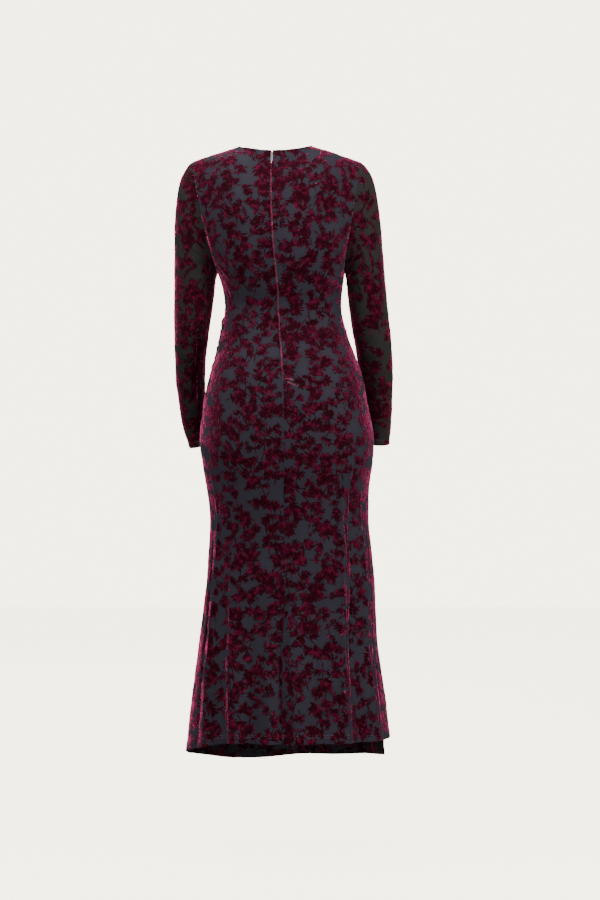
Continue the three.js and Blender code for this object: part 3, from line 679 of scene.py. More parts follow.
def relaxed(points, angle, z, to_top):
    """Softens the grid under each neck point, where its columns turn from the neckline to the shoulder."""
    from_middle = np.abs((angle + 90) % 180 - 90)
    share = bump((from_middle - NECK["angle"]) / SOFTENED["half"])
    share = share * ease(*SOFTENED["z"], z) * ease(*SOFTENED["from_top"], to_top)
    for _ in range(SOFTENED["rounds"]):
        level = (points[:, :-2] + points[:, 2:]) / 2
        points[:, 1:-1] = mix(points[:, 1:-1], level, SOFTENED["share"] * share[:, 1:-1, None])
    return points


def edged(count, size):
    """Places from 0 to 1 along size millimetres, close together near either edge."""
    near = np.array(EDGE_STEPS) / size
    middle = np.linspace(near[-1], 1 - near[-1], count)
    return np.concatenate([[0], near[:-1], middle, 1 - near[:-1][::-1], [1]])


class Panel:
    """Outer face of one panel as a grid of points over across and along, both from 0 to 1."""

    def __init__(self, name, across, along, base, out, rise, ring=False):
        points = base + out * rise[..., None]
        self.name = name
        self.across = across
        self.along = along
        self.points = points
        self.ring = ring
        up = np.gradient(points, axis=0)
        if ring:
            core = points[:, :-1]
            around = np.roll(core, -1, 1) - np.roll(core, 1, 1)
            around = np.concatenate([around, around[:, :1]], 1)
        else:
            around = np.gradient(points, axis=1)
        normals = unit(np.cross(up, around))
        flip = np.sign((normals * out).sum(-1, keepdims=True).mean())
        self.normals = normals * flip

    def place(self, u, v):
        """Point and outward direction at any place."""
        u = u % 1 if self.ring else np.clip(u, 0, 1)
        v = np.clip(v, 0, 1)
        j = np.clip(np.searchsorted(self.across, u, side="right") - 1, 0, len(self.across) - 2)
        i = np.clip(np.searchsorted(self.along, v, side="right") - 1, 0, len(self.along) - 2)
        a = ((u - self.across[j]) / (self.across[j + 1] - self.across[j]))[..., None]
        b = ((v - self.along[i]) / (self.along[i + 1] - self.along[i]))[..., None]

        def blend(grid):
            low = mix(grid[i, j], grid[i, j + 1], a)
            return mix(low, mix(grid[i + 1, j], grid[i + 1, j + 1], a), b)

        return blend(self.points), unit(blend(self.normals))

    def along_at(self, u, distance, from_top=False):
        """Place along at a distance in millimetres from the bottom edge, or from the top one."""
        j = int(np.clip(np.searchsorted(self.across, u), 0, len(self.across) - 1))
        run = lengths(self.points[:, j : j + 1], 0)[:, 0]
        wanted = run[-1] - distance if from_top else distance
        return float(np.interp(wanted, run, self.along))

    def across_at(self, v, distance, from_last=False):
        """Place across at a distance in millimetres from the first edge, or from the last one."""
        i = int(np.clip(np.searchsorted(self.along, v), 0, len(self.along) - 1))
        run = lengths(self.points[i : i + 1], 1)[0]
        wanted = run[-1] - distance if from_last else distance
        return float(np.interp(wanted, run, self.across))


def measured(base, angle, z):
    """A grid softened at the neck points, and its distances from the first, last, low and top edges."""
    s = lengths(base, 1)
    t = lengths(base, 0)
    to_top = t[-1:] - t
    return relaxed(base, angle, z, to_top), s, s[:, -1:] - s, t, to_top


def hanging_rise(base, angle, z, s, to_side):
    """Creases and unevenness of a panel of the body, which fade out at its seams."""
    rise = body_creases(angle, z, base)
    return rise + waviness(base, 3, 1.6) * ease(0, 30, s) * ease(0, 30, to_side)


def hemmed(rise, distance):
    for width, height in HEM_BANDS:
        rise = rise + hem_band(distance, width, height)
    return rise


def slit_rise(to_side, z):
    """Along the slit a narrow turned hem takes the place of the side seam."""
    share = ease(SLIT["top"] + 40, SLIT["top"] - 20, z)
    return share * (hem_band(to_side, SLIT_BAND, 0.4) - seam_dip(to_side))


def top_rise(free, to_top, height=0.8, at=1.8, half=2.4):
    """The top edge is rolled where it is free, and sinks in at the shoulder seam."""
    return np.where(free, height * bump((to_top - at) / half), seam_dip(to_top))


def back_panel(side):
    across, along = (edged(*row) for row in GRIDS["back"])
    base, normal, angle, z = back_grid(side, across, along)
    base, s, to_side, t, to_top = measured(base, angle, z)
    covered = ease(ZIP_RIDGE["none"], ZIP_RIDGE["full"], z)
    ridge = ZIP_RIDGE["rise"] * covered * ease(ZIP["end"] - 8, ZIP["end"] + 6, z)
    ridge = ridge * bump(s / ZIP_RIDGE["half"] / 1.6)
    rise = hanging_rise(base, angle, z, s, to_side)
    rise = rise + seam_dip(to_side) * np.where(z > UNDERARM, 0.5, 1)
    rise = rise + np.where(z < ZIP["end"] + 6, seam_dip(s), 0) + ridge
    rise = hemmed(rise, t)
    rise = rise + top_rise(np.abs(angle) < NECK["angle"] + 1, to_top)
    if side < 0:
        rise = rise + slit_rise(to_side, z)
    name = "back_left" if side > 0 else "back_right"
    return Panel(name, across, along, base, normal, rise)


def over_panel():
    across, along = (edged(*row) for row in GRIDS["over"])
    base, normal, angle, z = over_grid(across, along)
    base, s, to_side, t, to_top = measured(base, angle, z)
    rise = hanging_rise(base, angle, z, s, to_side) + seam_dip(s) + seam_dip(to_side)
    rise = hemmed(rise + slit_rise(to_side, z), t)
    rise = rise + top_rise(angle < 215, to_top, 1.5, 2.6, 3.4)
    return Panel("front_over", across, along, base, normal, rise)


def under_panel():
    across, along = (edged(*row) for row in GRIDS["under"])
    base, normal, angle, z = under_grid(across, along)
    base, s, to_side, _, to_top = measured(base, angle, z)
    rise = seam_dip(s) + seam_dip(to_side) + top_rise(angle > 145, to_top)
    return Panel("front_under", across, along, base, normal, rise)


def sleeve_panel(side):
    across = np.linspace(0, 1, 61)
    along = edged(118, 560)
    base, normal, turn, run = sleeve_grid(side, across, along)
    t = lengths(base, 0)
    to_cuff = t[-1:] - t
    around = lengths(base, 1)
    to_seam = np.minimum(around, around[:, -1:] - around)
    rise = sleeve_creases(side, turn, run) * ease(0, 14, t)
    rise = rise + waviness(base, 5, 1.2) * ease(0, 30, t)
    rise = rise + seam_dip(t, 0.5) + seam_dip(to_seam, 0.7) + hem_band(to_cuff, 12)
    name = "sleeve_left" if side > 0 else "sleeve_right"
    return Panel(name, across, along, base, normal, rise, ring=True)


def add_object(name, data):
    made = bpy.data.objects.new(name, data)
    bpy.context.scene.collection.objects.link(made)
    return made


def make_mesh(name, vertices, faces, materials, kinds=None):
    """Mesh object in metres from vertices in millimetres, shaded smooth."""
    mesh = bpy.data.meshes.new(name)
    mesh.from_pydata((np.asarray(vertices) * MM).tolist(), [], np.asarray(faces).tolist())
    for material in materials:
        mesh.materials.append(material)
    mesh.polygons.foreach_set("use_smooth", np.ones(len(mesh.polygons), bool))
    if kinds is not None:
        mesh.polygons.foreach_set("material_index", np.asarray(kinds, np.int32))
    mesh.update()
    return add_object(name, mesh)


def turned_out(vertices, faces, outward):
    """All faces turned over if the first one faces away from a direction."""
    first = vertices[faces[0]]
    facing = np.cross(first[1] - first[0], first[2] - first[0]) @ outward
    return faces[:, ::-1] if facing < 0 else faces


def shell_object(panel, materials):
    """Thin closed shell of a panel, with one material on its outer face and one on its inner."""
    points = panel.points[:, :-1] if panel.ring else panel.points
    normals = panel.normals[:, :-1] if panel.ring else panel.normals
    rows, columns = points.shape[:2]
    vertices = np.concatenate([points.reshape(-1, 3), (points - normals * CLOTH).reshape(-1, 3)])
    index = np.arange(rows * columns).reshape(rows, columns)
    if panel.ring:
        index = np.concatenate([index, index[:, :1]], 1)
    inner = index + rows * columns

    def quads(a, b, c, d):
        return np.stack([a.ravel(), b.ravel(), c.ravel(), d.ravel()], 1)

    outside = quads(index[:-1, :-1], index[:-1, 1:], index[1:, 1:], index[1:, :-1])
    inside = quads(inner[:-1, :-1], inner[1:, :-1], inner[1:, 1:], inner[:-1, 1:])
    rims = [
        quads(index[0, :-1], inner[0, :-1], inner[0, 1:], index[0, 1:]),
        quads(index[-1, :-1], index[-1, 1:], inner[-1, 1:], inner[-1, :-1]),
    ]
    if not panel.ring:
        rims.append(quads(index[:-1, 0], index[1:, 0], inner[1:, 0], inner[:-1, 0]))
        rims.append(quads(index[:-1, -1], inner[:-1, -1], inner[1:, -1], index[1:, -1]))
    faces = turned_out(vertices, np.concatenate([outside, inside, *rims]), normals[0, 0])
    kinds = np.zeros(len(faces), int)
    kinds[len(outside) : len(outside) + len(inside)] = 1
    return make_mesh(panel.name + "_cloth", vertices, faces, materials, kinds)


# Leaf of pile: vertices as share of length, side and height, from its base to its tip
LEAF_VERTICES = np.array([
    (0.00, 0, 0.2),
    (0.22, -0.72, 0.2), (0.22, 0, 0.8), (0.22, 0.72, 0.2),
    (0.50, -1.00, 0.2), (0.50, 0, 1.0), (0.50, 1.00, 0.2),
    (0.78, -0.58, 0.2), (0.78, 0, 0.8), (0.78, 0.58, 0.2),
    (1.00, 0, 0.2),
])
LEAF_FACES = np.array([
    (0, 1, 2), (0, 2, 3),
    (1, 4, 5), (1, 5, 2), (2, 5, 6), (2, 6, 3),
    (4, 7, 8), (4, 8, 5), (5, 8, 9), (5, 9, 6),
    (7, 10, 8), (8, 10, 9),
])
LOBE_VERTICES = np.array([
    (0.00, 0, 0.2),
    (0.38, -1.00, 0.2), (0.38, 0, 1.0), (0.38, 1.00, 0.2),
    (0.75, -0.62, 0.3), (0.75, 0.62, 0.3),
    (1.00, 0, 0.25),
])
LOBE_FACES = np.array([(0, 1, 2), (0, 2, 3), (1, 4, 2), (2, 5, 3), (2, 4, 5), (4, 6, 5)])
FLAT_VERTICES = np.array([(0.0, 0, 0.0), (0.45, -1, 0.0), (0.45, 1, 0.0), (1.0, 0, 0.0)])
FLAT_FACES = np.array([(0, 1, 2), (1, 3, 2)])

# Leaflets of a lobed leaf: place along it as a share of its length, and their own length in millimetres
LEAFLETS = ((0.08, 11), (0.25, 15), (0.44, 16), (0.63, 13.5), (0.80, 10.5))
LEAF_LENGTH = 29

# Half widths in millimetres: above the first a piece is a broad leaf, and above the other it shows behind
BROAD = 3.2
SHOWS_BEHIND = 1.2
BEHIND_DEPTH = CLOTH + 0.12
TRIES = 9000


def lobed_leaf(rng, x, y, heading, size):
    """Lobed leaf as pointed pieces: x, y, direction, length, half width and sideways bend of each."""
    bend = rng.uniform(-3, 3)
    length = LEAF_LENGTH * size
    rows = [(x, y, heading, length, rng.uniform(4.2, 5.6) * size, bend)]
    for at, reach in LEAFLETS:
        for side in (-1, 1):
            part = at + rng.uniform(-0.04, 0.04)
            turn = heading + side * rng.uniform(0.65, 1.15)
            start_x = x + length * part * math.cos(heading) - bend * part**2 * math.sin(heading)
            start_y = y + length * part * math.sin(heading) + bend * part**2 * math.cos(heading)
            long = reach * size * rng.uniform(0.75, 1.3)
            rows.append((start_x, start_y, turn, long, size * rng.uniform(1.9, 2.8), side * -1.6))
    return rows


def spray(rng, nodes, step, size):
    """Curved branch with lobed leaves on alternate sides and one at its end."""
    x = 0.0
    y = 0.0
    heading = 0.0
    curve = rng.uniform(-0.012, 0.012)
    rows = []
    first = rng.choice([-1, 1])
    for k in range(nodes):
        rows.append((x, y, heading, step * 1.3, 1.3, 0))
        x += step * math.cos(heading)
        y += step * math.sin(heading)
        heading += curve * step + rng.uniform(-0.15, 0.15)
        side = first * (-1) ** k
        grown = size * rng.uniform(0.7, 1.1)
        rows += lobed_leaf(rng, x, y, heading + side * rng.uniform(0.5, 1.2), grown)
        if rng.random() < 0.5:
            turn = heading - side * rng.uniform(0.7, 1.4)
            rows += lobed_leaf(rng, x, y, turn, grown * rng.uniform(0.4, 0.65))
    rows += lobed_leaf(rng, x, y, heading, size * 0.8)
    middle = np.array([np.mean([row[0] for row in rows]), np.mean([row[1] for row in rows])])
    return np.array([(row[0] - middle[0], row[1] - middle[1], *row[2:]) for row in rows])


def branch(rng):
    return spray(rng, rng.integers(4, 7), rng.uniform(17, 22), rng.uniform(0.85, 1.05))


def twig(rng):
    return spray(rng, rng.integers(1, 3), rng.uniform(12, 17), rng.uniform(0.65, 0.85))


def fern(rng):
    """Curved stem with pairs of small pointed leaflets."""
    pairs = rng.integers(5, 9)
    curve = rng.uniform(-0.05, 0.05)
    step = rng.uniform(4.2, 5.4)
    x = 0.0
    y = 0.0
    heading = 0.0
    rows = []
    for k in range(pairs):
        rows.append((x, y, heading, step * 1.35, 0.8, 0))
        x += step * math.cos(heading)
        y += step * math.sin(heading)
        heading += curve * step * 0.5
        length = (9.5 - 4.5 * k / pairs) * rng.uniform(0.8, 1.2)
        for side in (-1, 1):
            rows.append((x, y, heading + side * rng.uniform(0.7, 1.0), length, length * 0.23, 0))
    rows.append((x, y, heading, 8, 1.7, 0))
    return np.array(rows)


def spread(panel, gap, rng):
    """Places on a panel that are at least gap apart."""
    u = rng.random(TRIES)
    v = rng.random(TRIES)
    points, _ = panel.place(u, v)
    step = 1e-3
    wide = np.linalg.norm(panel.place(u + step, v)[0] - panel.place(u - step, v)[0], axis=-1)
    tall = np.linalg.norm(panel.place(u, v + step)[0] - panel.place(u, v - step)[0], axis=-1)
    area = wide * tall
    kept = rng.random(TRIES) < area / np.percentile(area, 98)
    cells = {}
    chosen = []
    for k in np.flatnonzero(kept):
        cell = tuple((points[k] // gap).astype(int))
        near = [
            other
            for dx in (-1, 0, 1) for dy in (-1, 0, 1) for dz in (-1, 0, 1)
            for other in cells.get((cell[0] + dx, cell[1] + dy, cell[2] + dz), ())
        ]
        if all(np.sum((points[k] - points[other]) ** 2) > gap * gap for other in near):
            cells.setdefault(cell, []).append(k)
            chosen.append(k)
    return u[chosen], v[chosen]


def reaches_inside(places):
    """Which rows of places from 0 to 1 reach in from the edges."""
    return (places.max(1) > 0.0005) & (places.min(1) < 0.9995)


def lay(panel, u, v, rows, turn, vertices, faces, depth=None):
    """Leaves of one spray, laid on the panel round a place, or flat at a depth behind it."""
    step = 2e-3
    low, _ = panel.place(np.array([u - step, u]), np.array([v, v - step]))
    high, _ = panel.place(np.array([u + step, u]), np.array([v, v + step]))
    reach_u = 2 * step if panel.ring else min(u + step, 1) - max(u - step, 0)
    reach_v = min(v + step, 1) - max(v - step, 0)
    per_u = (high[0] - low[0]) / reach_u
    per_v = (high[1] - low[1]) / reach_v
    wide = np.linalg.norm(per_u)
    x_axis = per_u / wide
    lean = per_v @ x_axis
    tall = np.linalg.norm(per_v - lean * x_axis)
    x, y, heading, length, half, bend = (rows[:, k : k + 1] for k in range(6))
    along = vertices[:, 0] * length
    aside = vertices[:, 1] * half + bend * vertices[:, 0] ** 2
    local_x = x + along * np.cos(heading) - aside * np.sin(heading)
    local_y = y + along * np.sin(heading) + aside * np.cos(heading)
    dx = local_x * math.cos(turn) - local_y * math.sin(turn)
    dy = local_x * math.sin(turn) + local_y * math.cos(turn)
    dv = dy / tall
    du = (dx - lean * dv) / wide
    at_u = u + du
    at_v = v + dv
    shown = reaches_inside(at_v)
    if not panel.ring:
        shown &= reaches_inside(at_u)
    points, normals = panel.place(at_u[shown], at_v[shown])
    height = PILE_EDGE + (PILE - PILE_EDGE) * vertices[:, 2]
    if depth is None:
        height = height * (1 - BY_TAB["lowered"] * near_tab(points))
    else:
        height = -depth + 0 * height
    laid = points + normals * height[..., None]
    count = len(vertices)
    offsets = np.arange(len(laid))[:, None, None] * count
    return laid.reshape(-1, 3), (faces[None] + offsets).reshape(-1, 3)


def near_tab(points):
    """True where the pull tab hangs close over the cloth."""
    beside = np.abs(points[..., 0] - BY_TAB["x"]) < BY_TAB["half"]
    return beside & (points[..., 1] > BY_TAB["y"]) & (points[..., 2] > BY_TAB["z"])


def pile_objects(panel, material, back_material, seed, motif):
    """Velvet leaves of a panel as one mesh, and how they show on its wrong side as another."""
    rng = np.random.default_rng(seed)
    raised = []
    behind = []
    for maker, gap, straight in motif:
        us, vs = spread(panel, gap, rng)
        for u, v in zip(us, vs):
            rows = maker(rng)
            turn = rng.choice([0.5, 1.5]) * np.pi + rng.normal() * straight
            broad = rows[:, 4] > BROAD
            raised.append(lay(panel, u, v, rows[broad], turn, LEAF_VERTICES, LEAF_FACES))
            raised.append(lay(panel, u, v, rows[~broad], turn, LOBE_VERTICES, LOBE_FACES))
            seen = rows[rows[:, 4] > SHOWS_BEHIND]
            behind.append(lay(panel, u, v, seen, turn, FLAT_VERTICES, FLAT_FACES, BEHIND_DEPTH))
    made = [joined(panel, panel.name + "_pile", raised, material, 1)]
    made.append(joined(panel, panel.name + "_pile_behind", behind, back_material, -1))
    return made


def joined(panel, name, parts, material, facing):
    """One mesh of many laid parts, with every face turned out of the panel, or into it."""
    vertices = np.concatenate([part[0] for part in parts])
    starts = np.cumsum([0] + [len(part[0]) for part in parts])
    faces = np.concatenate([part[1] + start for part, start in zip(parts, starts)])
    a, b, c = (vertices[faces[:, k]] for k in range(3))
    area = np.linalg.norm(np.cross(b - a, c - a), axis=1)
    faces = faces[area > 1e-4]
    a, b, c = (vertices[faces[:, k]] for k in range(3))
    outward = outward_near(panel, (a + b + c) / 3)
    wrong = (np.cross(b - a, c - a) * outward).sum(-1) * facing < 0
    faces[wrong] = faces[wrong][:, ::-1]
    return make_mesh(name, vertices, faces, [material])


def outward_near(panel, points):
    """Rough outward direction of a panel near points, from the axis of its rows."""
    heights = panel.points[..., 2].mean(1)
    centres = panel.points.mean(1)
    order = np.argsort(heights)
    centre = at_run(points[:, 2], heights[order], centres[order])
    if not panel.ring:
        centre[:, 0] = 0
        centre[:, 1] = 0
    return unit(points - centre)


def set_inputs(node, values):
    for name, value in values.items():
        node.inputs[name].default_value = value


def new_material(name, values):
    material = bpy.data.materials.new(name)
    material.use_nodes = True
    nodes = material.node_tree.nodes
    set_inputs(nodes["Principled BSDF"], values)
    return material, nodes, material.node_tree.links, nodes["Principled BSDF"]


def noise_bump(nodes, links, shader, scale, strength, distance, detail=2.5, roughness=0.5):
    """Unevenness in metres, the same on every piece."""
    place = nodes.new("ShaderNodeTexCoord")
    noise = nodes.new("ShaderNodeTexNoise")
    set_inputs(noise, {"Scale": scale, "Detail": detail, "Roughness": roughness})
    bump_node = nodes.new("ShaderNodeBump")
    set_inputs(bump_node, {"Strength": strength, "Distance": distance})
    links.new(place.outputs["Object"], noise.inputs["Vector"])
    links.new(noise.outputs["Fac"], bump_node.inputs["Height"])
    links.new(bump_node.outputs["Normal"], shader.inputs["Normal"])
    return noise


def velvet_material(name, dark, painted_sheen_flecks, tint, weight=1.0):
    """Crushed pile: nearly black where it lies flat, with raspberry flecks in its base colour that are
    painted sheen laid by a noise, and glowing where it turns away.
    """
    material, nodes, links, shader = new_material(name, {
        "Roughness": 0.95,
        "Specular IOR Level": 0.04,
        "Sheen Weight": weight,
        "Sheen Roughness": 0.32,
        "Sheen Tint": (*tint, 1),
    })
    noise = noise_bump(nodes, links, shader, 90, 1.0, 0.0028, 4.0, 0.75)
    # The ramp from the dark tone to the brighter flecks paints sheen into the base colour.
    ramp = nodes.new("ShaderNodeValToRGB")
    for stop, position, colour in zip(ramp.color_ramp.elements, (0.49, 0.68), (dark, painted_sheen_flecks)):
        stop.position = position
        stop.color = (*colour, 1)
    links.new(noise.outputs["Fac"], ramp.inputs["Fac"])
    links.new(ramp.outputs["Color"], shader.inputs["Base Color"])
    return material


def ground_material(name, base):
    """Thin knit ground that shows where the pile is burnt away."""
    values = {"Base Color": (*base, 1), "Roughness": 0.7, "Specular IOR Level": 0.06}
    material, nodes, links, shader = new_material(name, values)
    noise_bump(nodes, links, shader, 900, 0.25, 0.0003)
    return material


def plain_material(name, base, roughness, metallic=0.0):
    values = {"Base Color": (*base, 1), "Roughness": roughness, "Metallic": metallic}
    return new_material(name, values)[0]


# In each pile material the second colour is painted sheen, laid in flecks by a noise.
velvet = velvet_material(
    "burgundy_pile", (0.0085, 0.0000, 0.0012), (0.058, 0.0012, 0.013), (1.0, 0.13, 0.36)
)
velvet_behind = velvet_material(
    "burgundy_pile_behind", (0.006, 0.0004, 0.0012), (0.06, 0.004, 0.014), (1.0, 0.14, 0.32), 0.5
)
# Brighter pile for the zip ridge and the tension creases: its base colours are a painted highlight.
velvet_painted_highlight = velvet_material(
    "burgundy_edge", (0.085, 0.012, 0.026), (0.21, 0.04, 0.075), (1.0, 0.28, 0.43)
)
ground = ground_material("charcoal_ground", (0.0122, 0.0110, 0.0158))
sleeve_ground = ground_material("brown_ground", (0.0098, 0.0086, 0.0084))
reverse = ground_material("wrong_side", (0.0100, 0.0088, 0.0112))
thread = plain_material("thread", (0.085, 0.018, 0.034), 0.7)
tape = plain_material("zip_tape", (0.018, 0.014, 0.017), 0.85)
coil = plain_material("zip_coil", (0.045, 0.030, 0.034), 0.45)
metal = plain_material("zip_metal", (0.055, 0.050, 0.050), 0.30, 1.0)

panels = [back_panel(1), back_panel(-1), over_panel(), under_panel(), sleeve_panel(1), sleeve_panel(-1)]


def edge_band(panel, name, us, vs, profile, taper):
    """Narrow raised band of pile along a line of places, whose profile is offsets and heights, in the
    brighter pile whose colour is a painted highlight.
    """
    points, normals = panel.place(us, vs)
    aside = unit(np.cross(normals, np.gradient(points, axis=0)))
    from_end = np.minimum(np.linspace(0, 1, len(us)), np.linspace(1, 0, len(us)))
    fade = np.minimum(1, taper * from_end)[:, None]
    rows = [points + aside * offset * fade + normals * height * fade for offset, height in profile]
    index = np.arange(len(rows) * len(us)).reshape(len(rows), len(us))
    low = index[:-1]
    high = index[1:]
    corners = (low[:, :-1], low[:, 1:], high[:, 1:], high[:, :-1])
    faces = np.stack([corner.ravel() for corner in corners], 1)
    vertices = np.concatenate(rows)
    return make_mesh(panel.name + name, vertices, turned_out(vertices, faces, normals[0]), [velvet_painted_highlight])


def zip_bands(panel):
    """Turned edge that covers the zip, and on the right the two tight creases that pull at its end, as
    bands whose colour is a painted highlight.
    """
    heights = np.linspace(ZIP_FOOT, ZIP_BAND["top"], 220)
    vs = np.interp(heights, panel.points[:, 0, 2], panel.along)
    us = np.array([panel.across_at(v, ZIP_BAND["from_seam"]) for v in vs])
    made = [edge_band(panel, "_zip_edge", us, vs, ZIP_PROFILE, ZIP_BAND["taper"])]
    if panel.name == "back_right":
        for number, (reach, start, end) in enumerate(TENSION):
            heights = start + (end - start) * np.linspace(0, 1, 24)
            vs = np.interp(heights, panel.points[:, TENSION_BAND["column"], 2], panel.along)
            away = np.linspace(TENSION_BAND["from_seam"], reach, 24)
            us = np.array([panel.across_at(v, s) for v, s in zip(vs, away)])
            band = edge_band(panel, f"_tension_{number}", us, vs, TENSION_PROFILE, TENSION_BAND["taper"])
            made.append(band)
    return made


def solid_pieces(centres, x_axes, y_axes, z_axes, sizes, name, material):
    """Many small eight-sided pieces as one mesh: a pointed spindle along each x axis."""
    shape = np.array([(-1, 0, 0), (0, 1, 0), (0, 0, 1), (0, -1, 0), (0, 0, -1), (1, 0, 0)], float)
    faces = np.array([
        (0, 2, 1), (0, 3, 2), (0, 4, 3), (0, 1, 4), (5, 1, 2), (5, 2, 3), (5, 3, 4), (5, 4, 1),
    ])
    axes = np.stack([x_axes, y_axes, z_axes], 1)
    vertices = centres[:, None] + np.einsum("kc,ncd->nkd", shape * np.array(sizes), axes)
    offsets = np.arange(len(centres))[:, None, None] * len(shape)
    return make_mesh(name, vertices.reshape(-1, 3), (faces[None] + offsets).reshape(-1, 3), [material])


def stitches(panel, path):
    """Centres and axes of stitches along a path of places on a panel."""
    points, normals = panel.place(path[:, 0], path[:, 1])
    run = lengths(points, 0)
    wanted = np.arange(STITCH["step"] / 2, run[-1], STITCH["step"])
    out = unit(at_run(wanted, run, normals))
    x_axes = unit(at_run(wanted + 0.5, run, points) - at_run(wanted - 0.5, run, points))
    y_axes = unit(np.cross(out, x_axes))
    return at_run(wanted, run, points) + out * STITCH["lift"], x_axes, y_axes, out


def hem_path(panel, distance):
    """Row at a distance from the hem, or on a sleeve from the cuff, where its grid ends."""
    return np.array([(u, panel.along_at(u, distance, panel.ring)) for u in np.linspace(0, 1, 160)])


def slit_path(panel, top):
    vs = np.linspace(panel.along_at(1.0, STITCH_ROWS["hem"][0]), top, 120)
    return np.array([(panel.across_at(v, SLIT_BAND, True), v) for v in vs])


def stitch_object(panel):
    """Two rows of stitches along a hem or cuff, and one beside the slit."""
    paths = [hem_path(panel, distance) for distance in STITCH_ROWS["cuff" if panel.ring else "hem"]]
    if panel.name in SLIT_TOP_SHARE:
        paths.append(slit_path(panel, SLIT_TOP_SHARE[panel.name]))
    found = [stitches(panel, path) for path in paths]
    axes = [np.concatenate([row[k] for row in found]) for k in range(4)]
    return solid_pieces(*axes, STITCH["sizes"], panel.name + "_stitches", thread)


# The cut of each panel: flat width and length in metres, and flat area in square metres
CUTS = {
    "back_left": (0.29, 1.30, 0.28),
    "back_right": (0.31, 1.29, 0.30),
    "front_over": (0.55, 1.35, 0.52),
    "front_under": (0.37, 0.47, 0.09),
    "sleeve_left": (0.26, 0.62, 0.12),
    "sleeve_right": (0.26, 0.61, 0.12),
}

# Sprays of the burnt-out pattern: maker, gap between them and how far they lean from upright
MOTIF = [(branch, 53, 0.5), (twig, 33, 0.8), (fern, 44, 1.2)]
FIRST_SEED = 11

for number, panel in enumerate(panels):
    cloth = shell_object(panel, [sleeve_ground if panel.ring else ground, reverse])
    pieces = pile_objects(panel, velvet, velvet_behind, FIRST_SEED + number, MOTIF)
    if panel.name in ("back_left", "back_right"):
        pieces += zip_bands(panel)
    if panel.name != "front_under":
        pieces.append(stitch_object(panel))
    for piece in [cloth, *pieces]:
        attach(piece, "dress")
    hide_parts(panel.name)
    width, length, area = CUTS[panel.name]


def zip_coil(side):
    """Coil of the closed zip on the inner face of one tape, below the slider."""
    heights = np.arange(ZIP["end"] + 2, COIL["top"], COIL["step"])
    depth = -(SOLID_CLOTH + ZIP["gap"] + ZIP["thick"] + COIL["behind"])
    angle = seam_edge(side, heights, seam_half_gap(heights) + COIL["out"])
    points, normals, _ = skin(back_surface, angle, heights, depth + 0 * heights)
    ahead = skin(back_surface, angle, heights + 1, depth + 0 * heights)[0]
    up = unit(ahead - points)
    across = unit(np.cross(up, normals))
    name = "zip_coil_left" if side > 0 else "zip_coil_right"
    made = solid_pieces(points, across, up, normals, COIL["sizes"], name, coil)
    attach(made, "dress")


for side in (1, -1):
    zip_coil(side)
for name in ("zip_tape_left", "zip_tape_right"):
    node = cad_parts[name]
    node.data.materials.clear()
    node.data.materials.append(tape)


def rounded_metal(node_name, piece_name, body, width):
    """A metal node again with its edges rounded."""
    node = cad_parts[node_name]
    made = add_object(piece_name, node.data.copy())
    made.data.materials.clear()
    made.data.materials.append(metal)
    edges = made.modifiers.new("rounding", "BEVEL")
    edges.width = width
    edges.segments = 3
    edges.limit_method = "ANGLE"
    edges.angle_limit = math.radians(35)
    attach(made, body)
    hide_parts(node_name)


rounded_metal("zip_slider", "slider_metal", "dress", 0.00025)
rounded_metal("zip_pull_tab", "pull_tab_metal", "pull_tab", 0.0003)

# Stage, lights and camera, in metres
FLOOR = -1.482
SENSOR = 36
AWAY = 4.6
VIEW_HEIGHT = 1.89


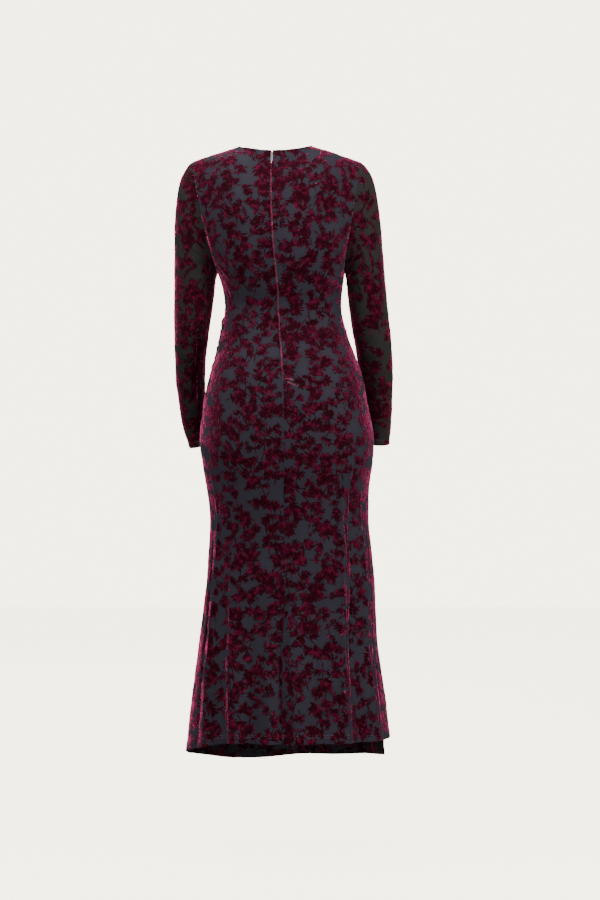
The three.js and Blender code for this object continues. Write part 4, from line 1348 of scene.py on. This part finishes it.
def stage_plane(name, corners, glow):
    """Part of the pale studio, which also glows a little so that it stays even."""
    mesh = bpy.data.meshes.new(name)
    mesh.from_pydata(corners, [], [(0, 1, 2, 3)])
    material = new_material(name, {
        "Base Color": (*PAPER, 1),
        "Roughness": 0.95,
        "Specular IOR Level": 0.0,
        "Emission Color": (1.0, 0.94, 0.76, 1),
        "Emission Strength": glow,
    })[0]
    mesh.materials.append(material)
    plane = add_object(name, mesh)
    plane.visible_diffuse = False
    plane.visible_glossy = False


FAR = 7.2
CEILING = 5
PAPER = (0.30, 0.29, 0.26)
CORNERS = [(-FAR, -FAR), (FAR, -FAR), (FAR, FAR), (-FAR, FAR)]
stage_plane("floor", [(x, y, FLOOR) for x, y in CORNERS], 4.7)
for number, (start, end) in enumerate(zip(CORNERS, CORNERS[1:] + CORNERS[:1])):
    corners = [(*start, FLOOR), (*end, FLOOR), (*end, CEILING), (*start, CEILING)]
    stage_plane(f"backdrop_{number}", corners, 5.2)


def area_light(name, location, target, size, power):
    light = bpy.data.lights.new(name, "AREA")
    light.shape = "RECTANGLE"
    light.size = size[0]
    light.size_y = size[1]
    light.energy = power
    made = add_object(name, light)
    made.location = location
    made.rotation_mode = "QUATERNION"
    made.rotation_quaternion = (Vector(target) - Vector(location)).to_track_quat("-Z", "Y")


area_light("key", (-0.5, 4.9, 0.6), (0, 0, -0.6), (1.6, 1.6), 72)
area_light("key_low", (0.6, 4.2, -1.1), (0, 0, -0.9), (1.4, 1.0), 40)
area_light("side_left", (2.6, 1.5, 0.5), (0, 0, -0.5), (0.9, 2.4), 80)
area_light("side_right", (-2.6, 1.5, 0.2), (0, 0, -0.7), (0.9, 2.4), 160)
area_light("top", (0.5, 0.5, 1.6), (0, 0, -0.2), (1.8, 1.0), 100)
area_light("front", (0.8, -4.2, 0.8), (0, 0, -0.6), (1.8, 1.8), 90)

world = bpy.data.worlds.new("studio")
world.use_nodes = True
set_inputs(world.node_tree.nodes["Background"], {"Color": (0.93, 0.93, 0.94, 1), "Strength": 0.55})
bpy.context.scene.world = world

camera_data = bpy.data.cameras.new("camera")
camera_data.sensor_width = SENSOR
camera_data.sensor_fit = "AUTO"
camera_data.lens = SENSOR * AWAY / VIEW_HEIGHT
camera_data.clip_start = 0.1
camera_data.clip_end = 50
camera = add_object("camera", camera_data)
camera.location = (-0.0483, AWAY, -0.636)
camera.rotation_euler = (math.radians(90), 0, math.radians(180))
bpy.context.scene.camera = camera
